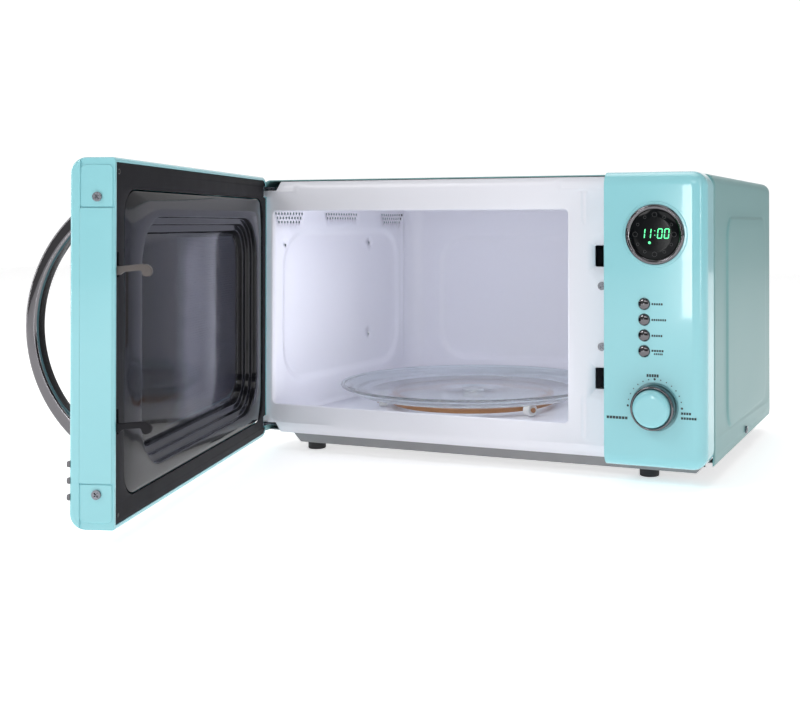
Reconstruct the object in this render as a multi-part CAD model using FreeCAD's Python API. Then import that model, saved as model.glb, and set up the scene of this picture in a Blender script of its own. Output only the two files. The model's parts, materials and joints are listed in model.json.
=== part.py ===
import FreeCAD, Part
import math
import os

# Countertop microwave oven with a hinged door, a turntable and a control panel.
# Millimetres. +X right, +Y back, +Z up. The origin is the centre of the cabinet shell's
# footprint, on the surface that the feet stand on. The door is built shut and then swung open.

Vector = FreeCAD.Vector
X = Vector(1, 0, 0)
Y = Vector(0, 1, 0)
Z = Vector(0, 0, 1)

# Cabinet
CABINET_WIDTH = 440.0
CABINET_DEPTH = 290.0
SHELL_HEIGHT = 243.0
SHELL_BASE = 16.0
SHELL_RADIUS = 9.5
SHEET = 1.0
EMBOSS = 1.6
EMBOSS_RADIUS = 20.0
SIDE_PANEL_Y = (54.0, 30.0)
SIDE_PANEL_Z = (22.0, 206.0)
TOP_PANEL_HALF = 150.0
TOP_PANEL_FRONT = 45.0
SIDE_VENT_ROWS = 8
SIDE_VENT_COLUMNS = 3
SIDE_VENT_START = (175.0, 36.0)
SIDE_VENT_STEP = (26.0, 8.0)
SIDE_VENT_SIZE = (20.0, 3.0)
FAN_GRILLE_ROWS = 13
EXHAUST_ROWS = 5
GRILLE_PITCH = 8.0
GRILLE_SLOT = 4.0
CORD_INLET = (192.0, 40.0)
FOOT_HEIGHT = 7.0
FOOT_RADIUS = 8.5
FOOT_X = (-170.0, 160.0)
FOOT_INSET = 20.0

# Front of the oven
FRONT_DEPTH = 32.0
DOOR_GAP = 1.0
SIDE_GAP = 1.4
FACE_RADIUS = 11.0
CORNER_RADIUS = 13.0
DOOR_BELOW = 3.0
DOOR_ABOVE = 2.5
PANEL_ABOVE = 1.0
CONTROL_BAY = (137.0, 206.0)
MOULDING_WALL = 2.2
PANEL_LEFT = 135.0
OPENING_LEFT = -207.3
OPENING_RIGHT = 92.5
OPENING_LOW = 27.8
OPENING_HIGH = 213.3
OPENING_RADIUS = 4.0

# Oven cavity
CAVITY_DEPTH = 280.0
CAVITY_TAPER = 9.8
CAVITY_FLOOR = 15.0
CAVITY_CEILING = 219.0
CAVITY_RADIUS = 20.0
CAVITY_VENTS = ((4.0, (10, 9, 8)), (94.0, (13, 12)), (210.0, (10, 9, 8)))
CAVITY_VENT_TOP = 211.0
CAVITY_VENT_STEP = (5.0, 4.2)
CAVITY_VENT_RADIUS = 1.5
GUIDE_Y = (-40.0, 35.0)
GUIDE_Z = (60.0, 130.0)
LAMP_Y = 90.0
LAMP_HEIGHT = 150.0

# Turntable
TRAY_RADIUS = 135.0
TRAY_RIM = 40.0
TRAY_GLASS = 4.0
ROLLER_RADIUS = 6.0
ROLLER_CIRCLE = 92.0
ROLLER_COUNT = 3

# Door
DOOR_OPEN = 73.0
HINGE_INSET = 3.5
HINGE_OUT = 5.0
PIN_RADIUS = 1.5
PIN_CLEARANCE = 0.05
WINDOW_LEFT = -182.0
WINDOW_RIGHT = 74.0
WINDOW_LOW = 54.0
WINDOW_HIGH = 204.0
WINDOW_RADIUS = 24.0

# Latch
HOOK_LEVELS = (59.0, 164.0)
HOOK_REACH = 24.0
HOOK_HEIGHT = 8.5
HOOK_THICKNESS = 2.4
LATCH_TRAVEL = 6.0
SPRING_RADIUS = 2.6
SLOT_HEIGHT = 18.4
SLOT_LEFT = 117.5
SLOT_RIGHT = 133.0

SCREW_RADIUS = 1.6
FRONT_HEAD = 0.9

# Controls
DISPLAY_X = 178.4
DISPLAY_Z = 192.2
DISPLAY_RADIUS = 24.7
BUTTON_X = 169.2
BUTTON_TOP_Z = 135.3
BUTTON_PITCH = 12.9
BUTTON_COUNT = 4
BUTTON_RADIUS = 4.7
BUTTON_TRAVEL = 1.2
KNOB_X = 178.0
KNOB_Z = 51.5
KNOB_RADIUS = 18.3
KNOB_HEIGHT = 16.0
KNOB_TRAVEL = 0.8
CLEARANCE = 0.3

# Handle and trim
HANDLE_X = 108.5
HANDLE_Z = 131.0
HANDLE_WIDTH = 13.0
HANDLE_OUTER = (83.0, 41.0)
HANDLE_INNER = (67.0, 28.0)
HANDLE_SCREW = 76.0
TRIM_LEVELS = (19.0, 30.0, 41.0)
TRIM_HEIGHT = 4.2
TRIM_PROUD = 1.4
TRIM_START = 14.0
EDGE_STEP = 1.2
COVER_INSET = 3.4
SCREEN_RECESS = 16.0
LATCH_BAR_LOW = 52.0
LATCH_BAR_HIGH = 186.0
FAN_X = 159.0
FAN_HEIGHT = 128.0
FAN_RADIUS = 39.0
FAN_BLADES = 5
MAGNETRON_FINS = 9
FIN_PITCH = 3.5

# Worked out from the above
HALF_WIDTH = CABINET_WIDTH / 2
FRONT = -CABINET_DEPTH / 2
BACK = CABINET_DEPTH / 2
FACE = FRONT - FRONT_DEPTH
SHELL_TOP = SHELL_BASE + SHELL_HEIGHT
INSIDE = HALF_WIDTH - SHEET
DOOR_LEFT = -HALF_WIDTH + 0.5
DOOR_RIGHT = PANEL_LEFT - SIDE_GAP
DOOR_INNER = FRONT - DOOR_GAP
DOOR_LOW = SHELL_BASE - DOOR_BELOW
DOOR_HIGH = SHELL_TOP + DOOR_ABOVE
HOOK_X = DOOR_RIGHT - 5.6
HINGE_X = -HALF_WIDTH + HINGE_INSET
HINGE_Y = FRONT - HINGE_OUT
TRAY_X = (OPENING_LEFT + OPENING_RIGHT) / 2
TRAY_Y = FRONT + CAVITY_DEPTH / 2
FLOOR_Z = SHELL_BASE + CAVITY_FLOOR
CEILING_Z = SHELL_BASE + CAVITY_CEILING
WALL_SLOPE = math.degrees(math.atan2(CAVITY_TAPER, CAVITY_DEPTH))
TRAY_BOTTOM = FLOOR_Z + 2 * ROLLER_RADIUS + 2 * CLEARANCE
PAN_TOP = SHELL_BASE + SHEET


def block(low, high):
    """Box between two corners."""
    return Part.makeBox(high[0] - low[0], high[1] - low[1], high[2] - low[2], Vector(*low))


def rod(start, direction, radius, length):
    """Cylinder from a point along a direction."""
    return Part.makeCylinder(radius, length, Vector(*start), direction)


def tube(start, direction, outer, inner, length):
    """Hollow cylinder from a point along a direction."""
    return rod(start, direction, outer, length).cut(rod(start, direction, inner, length))


def runs_along(edge, axis):
    """True for a straight edge parallel to an axis."""
    return abs(edge.tangentAt(edge.FirstParameter).dot(axis)) > 0.999


def rounded_block(low, high, radius, axis):
    """Box with its four edges along one axis rounded."""
    solid = block(low, high)
    return solid.makeFillet(radius, [e for e in solid.Edges if runs_along(e, axis)])


def edges_at(solid, axis, **place):
    """Edges along an axis whose middle has the given x, y or z."""
    found = []
    for edge in solid.Edges:
        middle = edge.CenterOfMass
        near = all(abs(getattr(middle, k) - v) < 0.01 for k, v in place.items())
        if near and runs_along(edge, axis):
            found.append(edge)
    return found


def front_edges(solid, front, square_side):
    """Edges of the front face, leaving out the upright one at the given x."""
    found = []
    for edge in solid.Edges:
        middle = edge.CenterOfMass
        if abs(middle.y - front) < 0.01 and abs(middle.x - square_side) > 0.01:
            found.append(edge)
    return found


def prism(points, direction):
    """Solid made by pushing a closed polygon along a vector."""
    wire = Part.makePolygon([Vector(*p) for p in points] + [Vector(*points[0])])
    return Part.Face(wire).extrude(direction)


def screw(head, direction, head_radius, shank_radius, length, head_height=1.8):
    """Pan-head cross-recess screw: head outside the point, shank along the direction."""
    crown = Vector(*head) - direction * head_height
    solid = rod(crown, direction, head_radius, head_height)
    solid = solid.fuse(rod(head, direction, shank_radius, length))
    upright = FreeCAD.Placement(crown, FreeCAD.Rotation(Z, direction))
    for turn in (45, 135):
        slot = Part.makeBox(head_radius * 1.2, 0.8, head_height * 1.2)
        slot.translate(Vector(-head_radius * 0.6, -0.4, -head_height * 0.6))
        slot.rotate(Vector(), Z, turn)
        solid = solid.cut(slot.transformGeometry(upright.toMatrix()))
    return solid


def swing_open(shape):
    """Turn a door piece from shut to its open position about the hinge line."""
    turned = shape.copy()
    turned.rotate(Vector(HINGE_X, HINGE_Y, 0), Z, -DOOR_OPEN)
    return turned


# ---------------------------------------------------------------- cabinet


def shell_prism(inset, front, back, low):
    """Upright body of the cabinet with its two top edges rounded."""
    solid = block((-HALF_WIDTH + inset, front, low), (HALF_WIDTH - inset, back, SHELL_TOP - inset))
    top_edges = edges_at(solid, Y, z=SHELL_TOP - inset)
    return solid.makeFillet(SHELL_RADIUS - inset, top_edges)


def side_emboss(side, inset, depth_in):
    """Raised panel pressed into one side wall, or the pocket behind it."""
    inner = side * (HALF_WIDTH - depth_in)
    outer = side * (HALF_WIDTH + EMBOSS - inset)
    low = (min(inner, outer), FRONT + SIDE_PANEL_Y[0] + inset, SHELL_BASE + SIDE_PANEL_Z[0] + inset)
    high = (max(inner, outer), BACK - SIDE_PANEL_Y[1] - inset, SHELL_BASE + SIDE_PANEL_Z[1] - inset)
    return rounded_block(low, high, EMBOSS_RADIUS - inset, X)


def top_emboss(inset, depth_in):
    """Raised panel pressed into the top wall, or the pocket behind it."""
    low = (-TOP_PANEL_HALF + inset, FRONT + TOP_PANEL_FRONT + inset, SHELL_TOP - depth_in)
    high = (TOP_PANEL_HALF - inset, BACK - SIDE_PANEL_Y[1] - inset, SHELL_TOP + EMBOSS - inset)
    return rounded_block(low, high, EMBOSS_RADIUS - inset, Z)


def side_vents():
    """Slots through the left wall, low down at the back."""
    slots = []
    for row in range(SIDE_VENT_ROWS):
        for column in range(SIDE_VENT_COLUMNS):
            y = FRONT + SIDE_VENT_START[0] + column * SIDE_VENT_STEP[0]
            z = SHELL_BASE + SIDE_VENT_START[1] + row * SIDE_VENT_STEP[1]
            low = (-HALF_WIDTH - 5, y, z)
            high = (-HALF_WIDTH + 5, y + SIDE_VENT_SIZE[0], z + SIDE_VENT_SIZE[1])
            slots.append(rounded_block(low, high, 1.4, X))
    return Part.makeCompound(slots)


def cabinet_wrap():
    """Top and both sides, folded from one sheet."""
    wrap = shell_prism(0, FRONT, BACK, SHELL_BASE)
    for side in (-1, 1):
        wrap = wrap.fuse(side_emboss(side, 0, 0.5))
    wrap = wrap.fuse(top_emboss(0, 0.5))
    wrap = wrap.cut(shell_prism(SHEET, FRONT - 1, BACK + 1, SHELL_BASE - 1))
    for side in (-1, 1):
        wrap = wrap.cut(side_emboss(side, SHEET, 3))
    wrap = wrap.cut(top_emboss(SHEET, 3))
    return wrap.cut(side_vents()).cut(screw_holes())


def latch_slot(level, front, back):
    """Clear space for one door hook."""
    low = (SLOT_LEFT, front, SHELL_BASE + level)
    high = (SLOT_RIGHT, back, SHELL_BASE + level + SLOT_HEIGHT)
    return block(low, high)


def hinge_notch(edge_z, inward):
    """Cut-out with a sloped end in a left corner of the front plate."""
    depth = 8.5 * inward
    outline = [
        (-INSIDE - 1, FRONT - 1, edge_z - inward),
        (-INSIDE - 1, FRONT - 1, edge_z + depth),
        (-INSIDE + 15, FRONT - 1, edge_z + depth),
        (-INSIDE + 21, FRONT - 1, edge_z - inward),
    ]
    return prism(outline, Y * (SHEET + 14))


def front_plate():
    """White front of the cavity, with its top and bottom edges folded back."""
    low = SHELL_BASE + SHEET
    high = SHELL_TOP - SHEET - 0.6
    plate = block((-INSIDE, FRONT, low), (INSIDE, FRONT + 12, high))
    plate = plate.cut(block((-INSIDE - 1, FRONT + SHEET, low + SHEET), (INSIDE + 1, FRONT + 13, high - SHEET)))
    plate = plate.common(shell_prism(SHEET, FRONT - 1, BACK, 0))
    opening_low = (OPENING_LEFT, FRONT - 1, SHELL_BASE + OPENING_LOW)
    opening_high = (OPENING_RIGHT, FRONT + 2, SHELL_BASE + OPENING_HIGH)
    plate = plate.cut(rounded_block(opening_low, opening_high, OPENING_RADIUS, Y))
    for level in HOOK_LEVELS:
        plate = plate.cut(latch_slot(level, FRONT - 1, FRONT + 2))
    plate = plate.cut(hinge_notch(high, -1))
    plate = plate.cut(hinge_notch(low, 1))
    bay_low = (CONTROL_BAY[0], FRONT - 1, SHELL_BASE + 20)
    plate = plate.cut(block(bay_low, (CONTROL_BAY[1], FRONT + 2, SHELL_BASE + 225)))
    return plate.cut(screw_holes())


def cavity_outline(offset, floor, ceiling, front):
    """Body of the oven space, tapering towards rounded back corners."""
    back = FRONT + CAVITY_DEPTH + offset
    outline = [
        (OPENING_LEFT - offset, front, floor),
        (OPENING_RIGHT + offset, front, floor),
        (OPENING_RIGHT - CAVITY_TAPER + offset, back, floor),
        (OPENING_LEFT + CAVITY_TAPER - offset, back, floor),
    ]
    solid = prism(outline, Z * (ceiling - floor))
    back_edges = [e for e in edges_at(solid, Z) if abs(e.CenterOfMass.y - back) < 0.01]
    return solid.makeFillet(CAVITY_RADIUS + offset, back_edges)


def vent_holes():
    """Three groups of small round holes near the top of the left cavity wall."""
    holes = []
    for start, rows in CAVITY_VENTS:
        for row, count in enumerate(rows):
            for column in range(count):
                y = FRONT + start + (column + 0.5 * row) * CAVITY_VENT_STEP[0]
                z = SHELL_BASE + CAVITY_VENT_TOP - row * CAVITY_VENT_STEP[1]
                holes.append(rod((OPENING_LEFT - 6, y, z), X, CAVITY_VENT_RADIUS, 20))
    return Part.makeCompound(holes)


def cavity_box():
    """White oven space: floor, ceiling, sides and back."""
    start = FRONT + SHEET
    box = cavity_outline(SHEET, FLOOR_Z - SHEET, CEILING_Z + SHEET, start)
    box = box.cut(cavity_outline(0, FLOOR_Z, CEILING_Z, start - 1))
    box = box.cut(vent_holes())
    box = box.cut(rod((TRAY_X, TRAY_Y, FLOOR_Z - 3), Z, 7.5, 6))
    inlet_low = (70, GUIDE_Y[0], FLOOR_Z + GUIDE_Z[0])
    box = box.cut(block(inlet_low, (110, GUIDE_Y[1], FLOOR_Z + GUIDE_Z[1])))
    return box.cut(rod((70, LAMP_Y, FLOOR_Z + LAMP_HEIGHT), X, 9, 40))


def pan_well(inset):
    """Sunk middle of the base, with sloped ends."""
    low_z = FOOT_HEIGHT + inset
    outline = [
        (-192 + inset, FRONT + 10 + inset, PAN_TOP),
        (-182 + inset, FRONT + 10 + inset, low_z),
        (203 - inset, FRONT + 10 + inset, low_z),
        (211 - inset, FRONT + 10 + inset, PAN_TOP),
    ]
    return prism(outline, Y * (CABINET_DEPTH - 20 - 2 * inset))


def foot_places():
    """Centre of each foot: left and right, front and back."""
    return [(x, y) for x in FOOT_X for y in (FRONT + FOOT_INSET, BACK - FOOT_INSET)]


def base_pan():
    """Sheet-steel floor of the cabinet with a sunk well, air slots and foot holes."""
    pan = block((-INSIDE, FRONT + 12.5, SHELL_BASE), (INSIDE, BACK - 1.2, PAN_TOP))
    pan = pan.fuse(pan_well(0)).cut(pan_well(SHEET))
    pan = pan.cut(block((-INSIDE - 1, FRONT, PAN_TOP), (INSIDE + 1, BACK, PAN_TOP + 5)))
    for row in range(9):
        x = 120 + row * 8
        slot = rounded_block((x, -30, FOOT_HEIGHT - 1), (x + 4, 30, FOOT_HEIGHT + 3), 1.9, Z)
        pan = pan.cut(slot)
    for x, y in foot_places():
        pan = pan.cut(rod((x, y, FOOT_HEIGHT - 1), Z, 3.1, 4))
    return pan


def foot(x, y):
    """Rubber foot with a neck through the pan and a flange above it."""
    pad = rod((x, y, 0), Z, FOOT_RADIUS, FOOT_HEIGHT)
    pad = pad.makeFillet(1.2, [e for e in pad.Edges if e.Closed and e.CenterOfMass.z < 0.1])
    neck = rod((x, y, FOOT_HEIGHT), Z, 3.0, SHEET)
    flange = rod((x, y, FOOT_HEIGHT + SHEET), Z, 4.6, 2.0)
    return pad.fuse(neck).fuse(flange)


def rear_panel():
    """Back cover with a fan grille, an exhaust grille and the cord's inlet hole."""
    panel = shell_prism(SHEET + 0.2, BACK - SHEET, BACK, SHELL_BASE + 0.2)
    grilles = ((122, 196, 78, FAN_GRILLE_ROWS), (-190, -120, 180, EXHAUST_ROWS))
    for left, right, start, rows in grilles:
        for row in range(rows):
            z = SHELL_BASE + start + row * GRILLE_PITCH
            slot = rounded_block((left, BACK - 5, z), (right, BACK + 5, z + GRILLE_SLOT), 1.9, Y)
            panel = panel.cut(slot)
    inlet = rod((CORD_INLET[0], BACK - 5, SHELL_BASE + CORD_INLET[1]), Y, 7.0, 10)
    return panel.cut(inlet).cut(screw_holes())


def cord_gland():
    """Flanged bush in the back cover, where a supply cord would leave."""
    x, z = CORD_INLET[0], SHELL_BASE + CORD_INLET[1]
    bush = rod((x, BACK - 9, z), Y, 6.9, 9)
    bush = bush.fuse(rod((x, BACK, z), Y, 9.5, 3.0))
    bush = bush.fuse(rod((x, BACK - 5, z), Y, 9.0, 5 - SHEET))
    return bush.cut(rod((x, BACK - 10, z), Y, 3.8, 20))


def cabinet_screw_places():
    """Head seat and driving direction of each screw of the cabinet."""
    places = [((123.5, FRONT, SHELL_BASE + z), Y) for z in (95.3, 147.5)]
    for x in (-206, 0, 206):
        for z in (SHELL_BASE + 8, SHELL_TOP - 12):
            places.append(((x, BACK, z), -Y))
    for side in (-1, 1):
        places.append(((side * HALF_WIDTH, 2, SHELL_BASE + 6.5), X * -side))
    return places


def screw_holes():
    """Holes through the sheet metal for the cabinet's screws."""
    holes = [rod(Vector(*seat) - way * 2, way, SCREW_RADIUS + 0.1, 12) for seat, way in cabinet_screw_places()]
    return Part.makeCompound(holes)


def cabinet_screws():
    """Screws of the wrap, the back cover and the latch bracket."""
    screws = []
    for seat, way in cabinet_screw_places():
        head_height = FRONT_HEAD if way == Y else 1.8
        screws.append(screw(seat, way, 3.5, SCREW_RADIUS, 6, head_height))
    return Part.makeCompound(screws)


# ---------------------------------------------------------------- door


def door_block(depth_front, depth_back, inset, radius):
    """Block of the door's outline with rounded left corners and front edges."""
    low = (DOOR_LEFT + inset, depth_front, DOOR_LOW + inset)
    high = (DOOR_RIGHT - inset, depth_back, DOOR_HIGH - inset)
    solid = block(low, high)
    solid = solid.makeFillet(CORNER_RADIUS - inset, edges_at(solid, Y, x=low[0]))
    return solid.makeFillet(radius, front_edges(solid, depth_front, high[0]))


def hinge_space(reach):
    """Clear discs round the hinge line at the top and the bottom of the door."""
    discs = []
    for low in (SHELL_BASE + 6.0, SHELL_TOP - 16.4):
        discs.append(rod((HINGE_X, HINGE_Y, low), Z, reach, 10.4))
    return Part.makeCompound(discs)


def window_hole(grow, front, back):
    """Rounded window opening, grown all round."""
    low = (WINDOW_LEFT - grow, front, SHELL_BASE + WINDOW_LOW - grow)
    high = (WINDOW_RIGHT + grow, back, SHELL_BASE + WINDOW_HIGH + grow)
    return rounded_block(low, high, WINDOW_RADIUS + grow, Y)


def edge_strip(grow):
    """Cover strip let into the free edge of the door."""
    low = (DOOR_RIGHT - 1.4, FACE + 7.2 - grow, SHELL_BASE + 28.5 - grow)
    high = (DOOR_RIGHT + grow, DOOR_INNER - 1.6 + grow, SHELL_BASE + 211.5 + grow)
    return block(low, high)


def edge_screw_places():
    """Heights of the two screws in the free edge of the door."""
    return (SHELL_BASE + 21, SHELL_BASE + 219)


def edge_step(low_z, high_z):
    """Sunk end of the free edge, beside the cover strip."""
    return block((DOOR_RIGHT - EDGE_STEP, FACE + 7.2, low_z), (DOOR_RIGHT + 1, DOOR_INNER + 1, high_z))


def door_frame():
    """Moulded outer frame of the door, open at the back."""
    frame = door_block(FACE, DOOR_INNER, 0, FACE_RADIUS)
    frame = frame.makeFillet(2.5, edges_at(frame, Z, x=DOOR_RIGHT, y=FACE))
    frame = frame.makeFillet(1.8, edges_at(frame, Z, x=DOOR_LEFT, y=DOOR_INNER))
    wall = MOULDING_WALL + 1.0
    frame = frame.cut(door_block(FACE + MOULDING_WALL, DOOR_INNER + 5, wall, FACE_RADIUS - MOULDING_WALL))
    frame = frame.cut(edge_strip(0.1))
    frame = frame.cut(edge_step(DOOR_LOW - 1, SHELL_BASE + 28.4))
    frame = frame.cut(edge_step(SHELL_BASE + 211.6, DOOR_HIGH + 1))
    frame = frame.cut(window_hole(0, FACE - 1, FACE + 5))
    frame = frame.cut(hinge_space(8.0))
    for z in edge_screw_places():
        frame = frame.cut(rod((DOOR_RIGHT - 6, FACE + 19, z), X, 1.7, 10))
    for level in TRIM_LEVELS:
        z = SHELL_BASE + level - TRIM_HEIGHT / 2
        groove_low = (DOOR_LEFT + TRIM_START, FACE - 1, z)
        frame = frame.cut(block(groove_low, (DOOR_RIGHT + 1, FACE + 0.8, z + TRIM_HEIGHT)))
    for z in handle_feet():
        frame = frame.cut(rod((HANDLE_X, FACE - 1, z), Y, 2.1, 6))
    return frame


def door_edge_strip():
    """Separate cover strip on the free edge, between the two screws."""
    return edge_strip(0)


def trim_strip(level):
    """Bright bar across the lower front of the door."""
    z = SHELL_BASE + level - TRIM_HEIGHT / 2
    low = (DOOR_LEFT + TRIM_START, FACE - TRIM_PROUD, z)
    high = (DOOR_RIGHT, FACE + 0.8, z + TRIM_HEIGHT)
    bar = block(low, high)
    return bar.makeFillet(1.2, edges_at(bar, X, y=FACE - TRIM_PROUD))


def window_trim():
    """Bright ring round the window."""
    ring = window_hole(5, FACE - 1.2, FACE).cut(window_hole(-1.5, FACE - 2, FACE + 1))
    return ring.fuse(window_hole(0, FACE - 0.2, FACE + MOULDING_WALL).cut(window_hole(-1.5, FACE - 2, FACE + 5)))


def door_glass():
    """Tinted outer pane behind the window opening."""
    return window_hole(9, FACE + MOULDING_WALL, FACE + MOULDING_WALL + 3)


def bezel_hole(grow, front, back):
    """Raised inner panel outline of the door plate."""
    low = (DOOR_LEFT + 14 - grow, front, SHELL_BASE + 15 - grow)
    high = (DOOR_LEFT + 335.5 + grow, back, SHELL_BASE + 224 + grow)
    return rounded_block(low, high, 18 + grow, Y)


def screen_hole(grow, front, back):
    """Recess over the perforated screen, grown all round."""
    low = (DOOR_LEFT + 48 - grow, front, SHELL_BASE + 42 - grow)
    high = (DOOR_LEFT + 288 + grow, back, SHELL_BASE + 190 + grow)
    return rounded_block(low, high, 20 + grow, Y)


def door_plate():
    """Welded steel door plate: outer rim, sunk window pan with steps, hinge ears."""
    back = DOOR_INNER - 2.0
    floor = DOOR_INNER - SCREEN_RECESS
    low = (DOOR_LEFT + 6.5, floor - SHEET, DOOR_LOW + 6)
    high = (DOOR_RIGHT - 12, back, DOOR_HIGH - 6)
    plate = rounded_block(low, high, 6, Y)
    rim_low = (low[0] + SHEET, floor, low[2] + SHEET)
    rim_high = (high[0] - SHEET, back + 1, high[2] - SHEET)
    plate = plate.cut(rounded_block(rim_low, rim_high, 5, Y))
    pan = bezel_hole(0, floor - 0.5, DOOR_INNER - 0.6).cut(bezel_hole(-SHEET, floor - 1, DOOR_INNER - 1.8))
    pan = pan.cut(screen_hole(16, DOOR_INNER - 5, DOOR_INNER + 1))
    for grow, step_front, step_back in ((16, 5.6, 0.6), (10, 10.0, 5.0), (4, SCREEN_RECESS, 9.0)):
        outer = screen_hole(grow + SHEET, DOOR_INNER - step_front, DOOR_INNER - step_back)
        inner = screen_hole(grow, DOOR_INNER - step_front - 1, DOOR_INNER + 1)
        pan = pan.fuse(outer.cut(inner))
    for grow, depth in ((10, 5.6), (4, 10.0)):
        ledge = screen_hole(grow + 6.5, DOOR_INNER - depth, DOOR_INNER - depth + SHEET)
        pan = pan.fuse(ledge.cut(screen_hole(grow, DOOR_INNER - depth - 1, DOOR_INNER)))
    plate = plate.fuse(pan)
    plate = plate.cut(screen_hole(0, floor - 5, DOOR_INNER + 5))
    for z in hinge_ear_levels():
        ear_low = (HINGE_X, HINGE_Y - 2.9, z)
        ear = block(ear_low, (low[0] + SHEET, HINGE_Y + 2.9, z + 3))
        plate = plate.fuse(ear).fuse(rod((HINGE_X, HINGE_Y, z), Z, 2.9, 3))
    for z in hinge_ear_levels():
        plate = plate.cut(rod((HINGE_X, HINGE_Y, z - 1), Z, PIN_RADIUS + PIN_CLEARANCE, 5))
    return plate


def hinge_ear_levels():
    """Undersides of the door's lower and upper hinge ears."""
    return (SHELL_BASE + 11.5, SHELL_TOP - 14.5)


def door_screen():
    """Perforated sheet welded behind the window of the door plate."""
    back = DOOR_INNER - SCREEN_RECESS - SHEET
    return screen_hole(8, back - 0.6, back)


def inner_window():
    """Clear sheet over the perforated screen, on the cooking side."""
    return screen_hole(3.6, DOOR_INNER - 15.8, DOOR_INNER - 15.0)


def choke_cover():
    """Matt black ring over the choke channel, with slots for the hooks."""
    low = (DOOR_LEFT + COVER_INSET, DOOR_INNER - 1.9, DOOR_LOW + COVER_INSET)
    high = (DOOR_RIGHT - COVER_INSET, DOOR_INNER - 0.3, DOOR_HIGH - COVER_INSET)
    cover = block(low, high)
    cover = cover.makeFillet(CORNER_RADIUS - COVER_INSET, edges_at(cover, Y, x=low[0]))
    cover = cover.makeFillet(3, edges_at(cover, Y, x=high[0]))
    cover = cover.cut(bezel_hole(0.6, DOOR_INNER - 5, DOOR_INNER + 1))
    for level in HOOK_LEVELS:
        slot_low = (HOOK_X - 2.4, DOOR_INNER - 3, SHELL_BASE + level + 1)
        cover = cover.cut(block(slot_low, (HOOK_X + 2.0, DOOR_INNER + 1, SHELL_BASE + level + 18)))
    return cover.cut(hinge_space(8.0))


def hook_outline(base):
    """Side view of one hook: a bar that ends in a down-turned, ramped tip."""
    root = DOOR_INNER - 4
    tip = DOOR_INNER + HOOK_REACH
    top = base + HOOK_HEIGHT
    points = [(root, base), (root, top), (tip - 5, top), (tip, top - 3)]
    points += [(tip - 2, base), (tip - 7, base), (tip - 7, top - 4), (DOOR_INNER + 3, top - 4.6), (DOOR_INNER + 1, base)]
    return [(HOOK_X - HOOK_THICKNESS / 2, y, z) for y, z in points]


def latch_key():
    """Sliding bar inside the free edge of the door, with its two hooks."""
    low = (HOOK_X - 3.4, DOOR_INNER - 9.5, SHELL_BASE + LATCH_BAR_LOW)
    high = (HOOK_X + 1.8, DOOR_INNER - 4, SHELL_BASE + LATCH_BAR_HIGH)
    key = block(low, high)
    for level in HOOK_LEVELS:
        key = key.fuse(prism(hook_outline(SHELL_BASE + level + 1.6), X * HOOK_THICKNESS))
    return key.fuse(rod((HOOK_X - 1, DOOR_INNER - 7, high[2]), Z, 1.4, 9))


def latch_spring():
    """Coil spring that pushes the latch key down."""
    base = SHELL_BASE + LATCH_BAR_HIGH + 0.5
    helix = Part.makeHelix(2.43, 17.0, SPRING_RADIUS)
    start = Vector(SPRING_RADIUS, 0, 0)
    section = Part.Wire(Part.makeCircle(0.45, start, Y))
    coil = Part.Wire(helix.Edges).makePipeShell([section], True, True)
    coil.translate(Vector(HOOK_X - 1, DOOR_INNER - 7, base))
    return coil


def latch_guide():
    """Bracket in the door that holds the top of the spring and guides the key."""
    left, right = HOOK_X - 5.8, HOOK_X + 2.0
    front, back = DOOR_INNER - 12, DOOR_INNER - 2.2
    low_z = SHELL_BASE + LATCH_BAR_LOW - 5
    high_z = SHELL_BASE + LATCH_BAR_HIGH + 20
    top = block((left, front, high_z - 2), (right, back, high_z))
    bottom = block((left, front, low_z), (right, back, low_z + 2))
    spine = block((left, front, low_z), (right, front + 1.8, high_z))
    return top.fuse(bottom).fuse(spine)


def handle_feet():
    """Heights of the handle's two screws."""
    return (SHELL_BASE + HANDLE_Z - HANDLE_SCREW, SHELL_BASE + HANDLE_Z + HANDLE_SCREW)


def bow_face(half_chord, rise):
    """Circular segment that stands on the door's front face."""
    centre = SHELL_BASE + HANDLE_Z
    low = Vector(0, FACE, centre - half_chord)
    top = Vector(0, FACE - rise, centre)
    high = Vector(0, FACE, centre + half_chord)
    arc = Part.Arc(low, top, high).toShape()
    return Part.Face(Part.Wire([arc, Part.makeLine(high, low)]))


def handle():
    """Bow handle, thicker at its feet, with a threaded hole in each."""
    bow = bow_face(*HANDLE_OUTER).extrude(X * HANDLE_WIDTH)
    gap = bow_face(*HANDLE_INNER).extrude(X * (HANDLE_WIDTH + 2))
    gap.translate(Vector(-1, 0, 0))
    bow = bow.makeFillet(3.5, [e for e in bow.Edges if isinstance(e.Curve, Part.Circle)])
    bow = bow.cut(gap)
    bow.translate(Vector(HANDLE_X - HANDLE_WIDTH / 2, 0, 0))
    for z in handle_feet():
        bow = bow.cut(rod((HANDLE_X, FACE + 1, z), -Y, 1.7, 7))
    return bow


def door_screws():
    """Screws in the free edge of the door, and those that hold the handle from inside."""
    start = DOOR_RIGHT - EDGE_STEP
    screws = [screw((start, FACE + 19, z), -X, 3.2, 1.5, 8) for z in edge_screw_places()]
    back = FACE + MOULDING_WALL
    screws += [screw((HANDLE_X, back, z), -Y, 3.8, 1.6, 7.5) for z in handle_feet()]
    return Part.makeCompound(screws)


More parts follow.
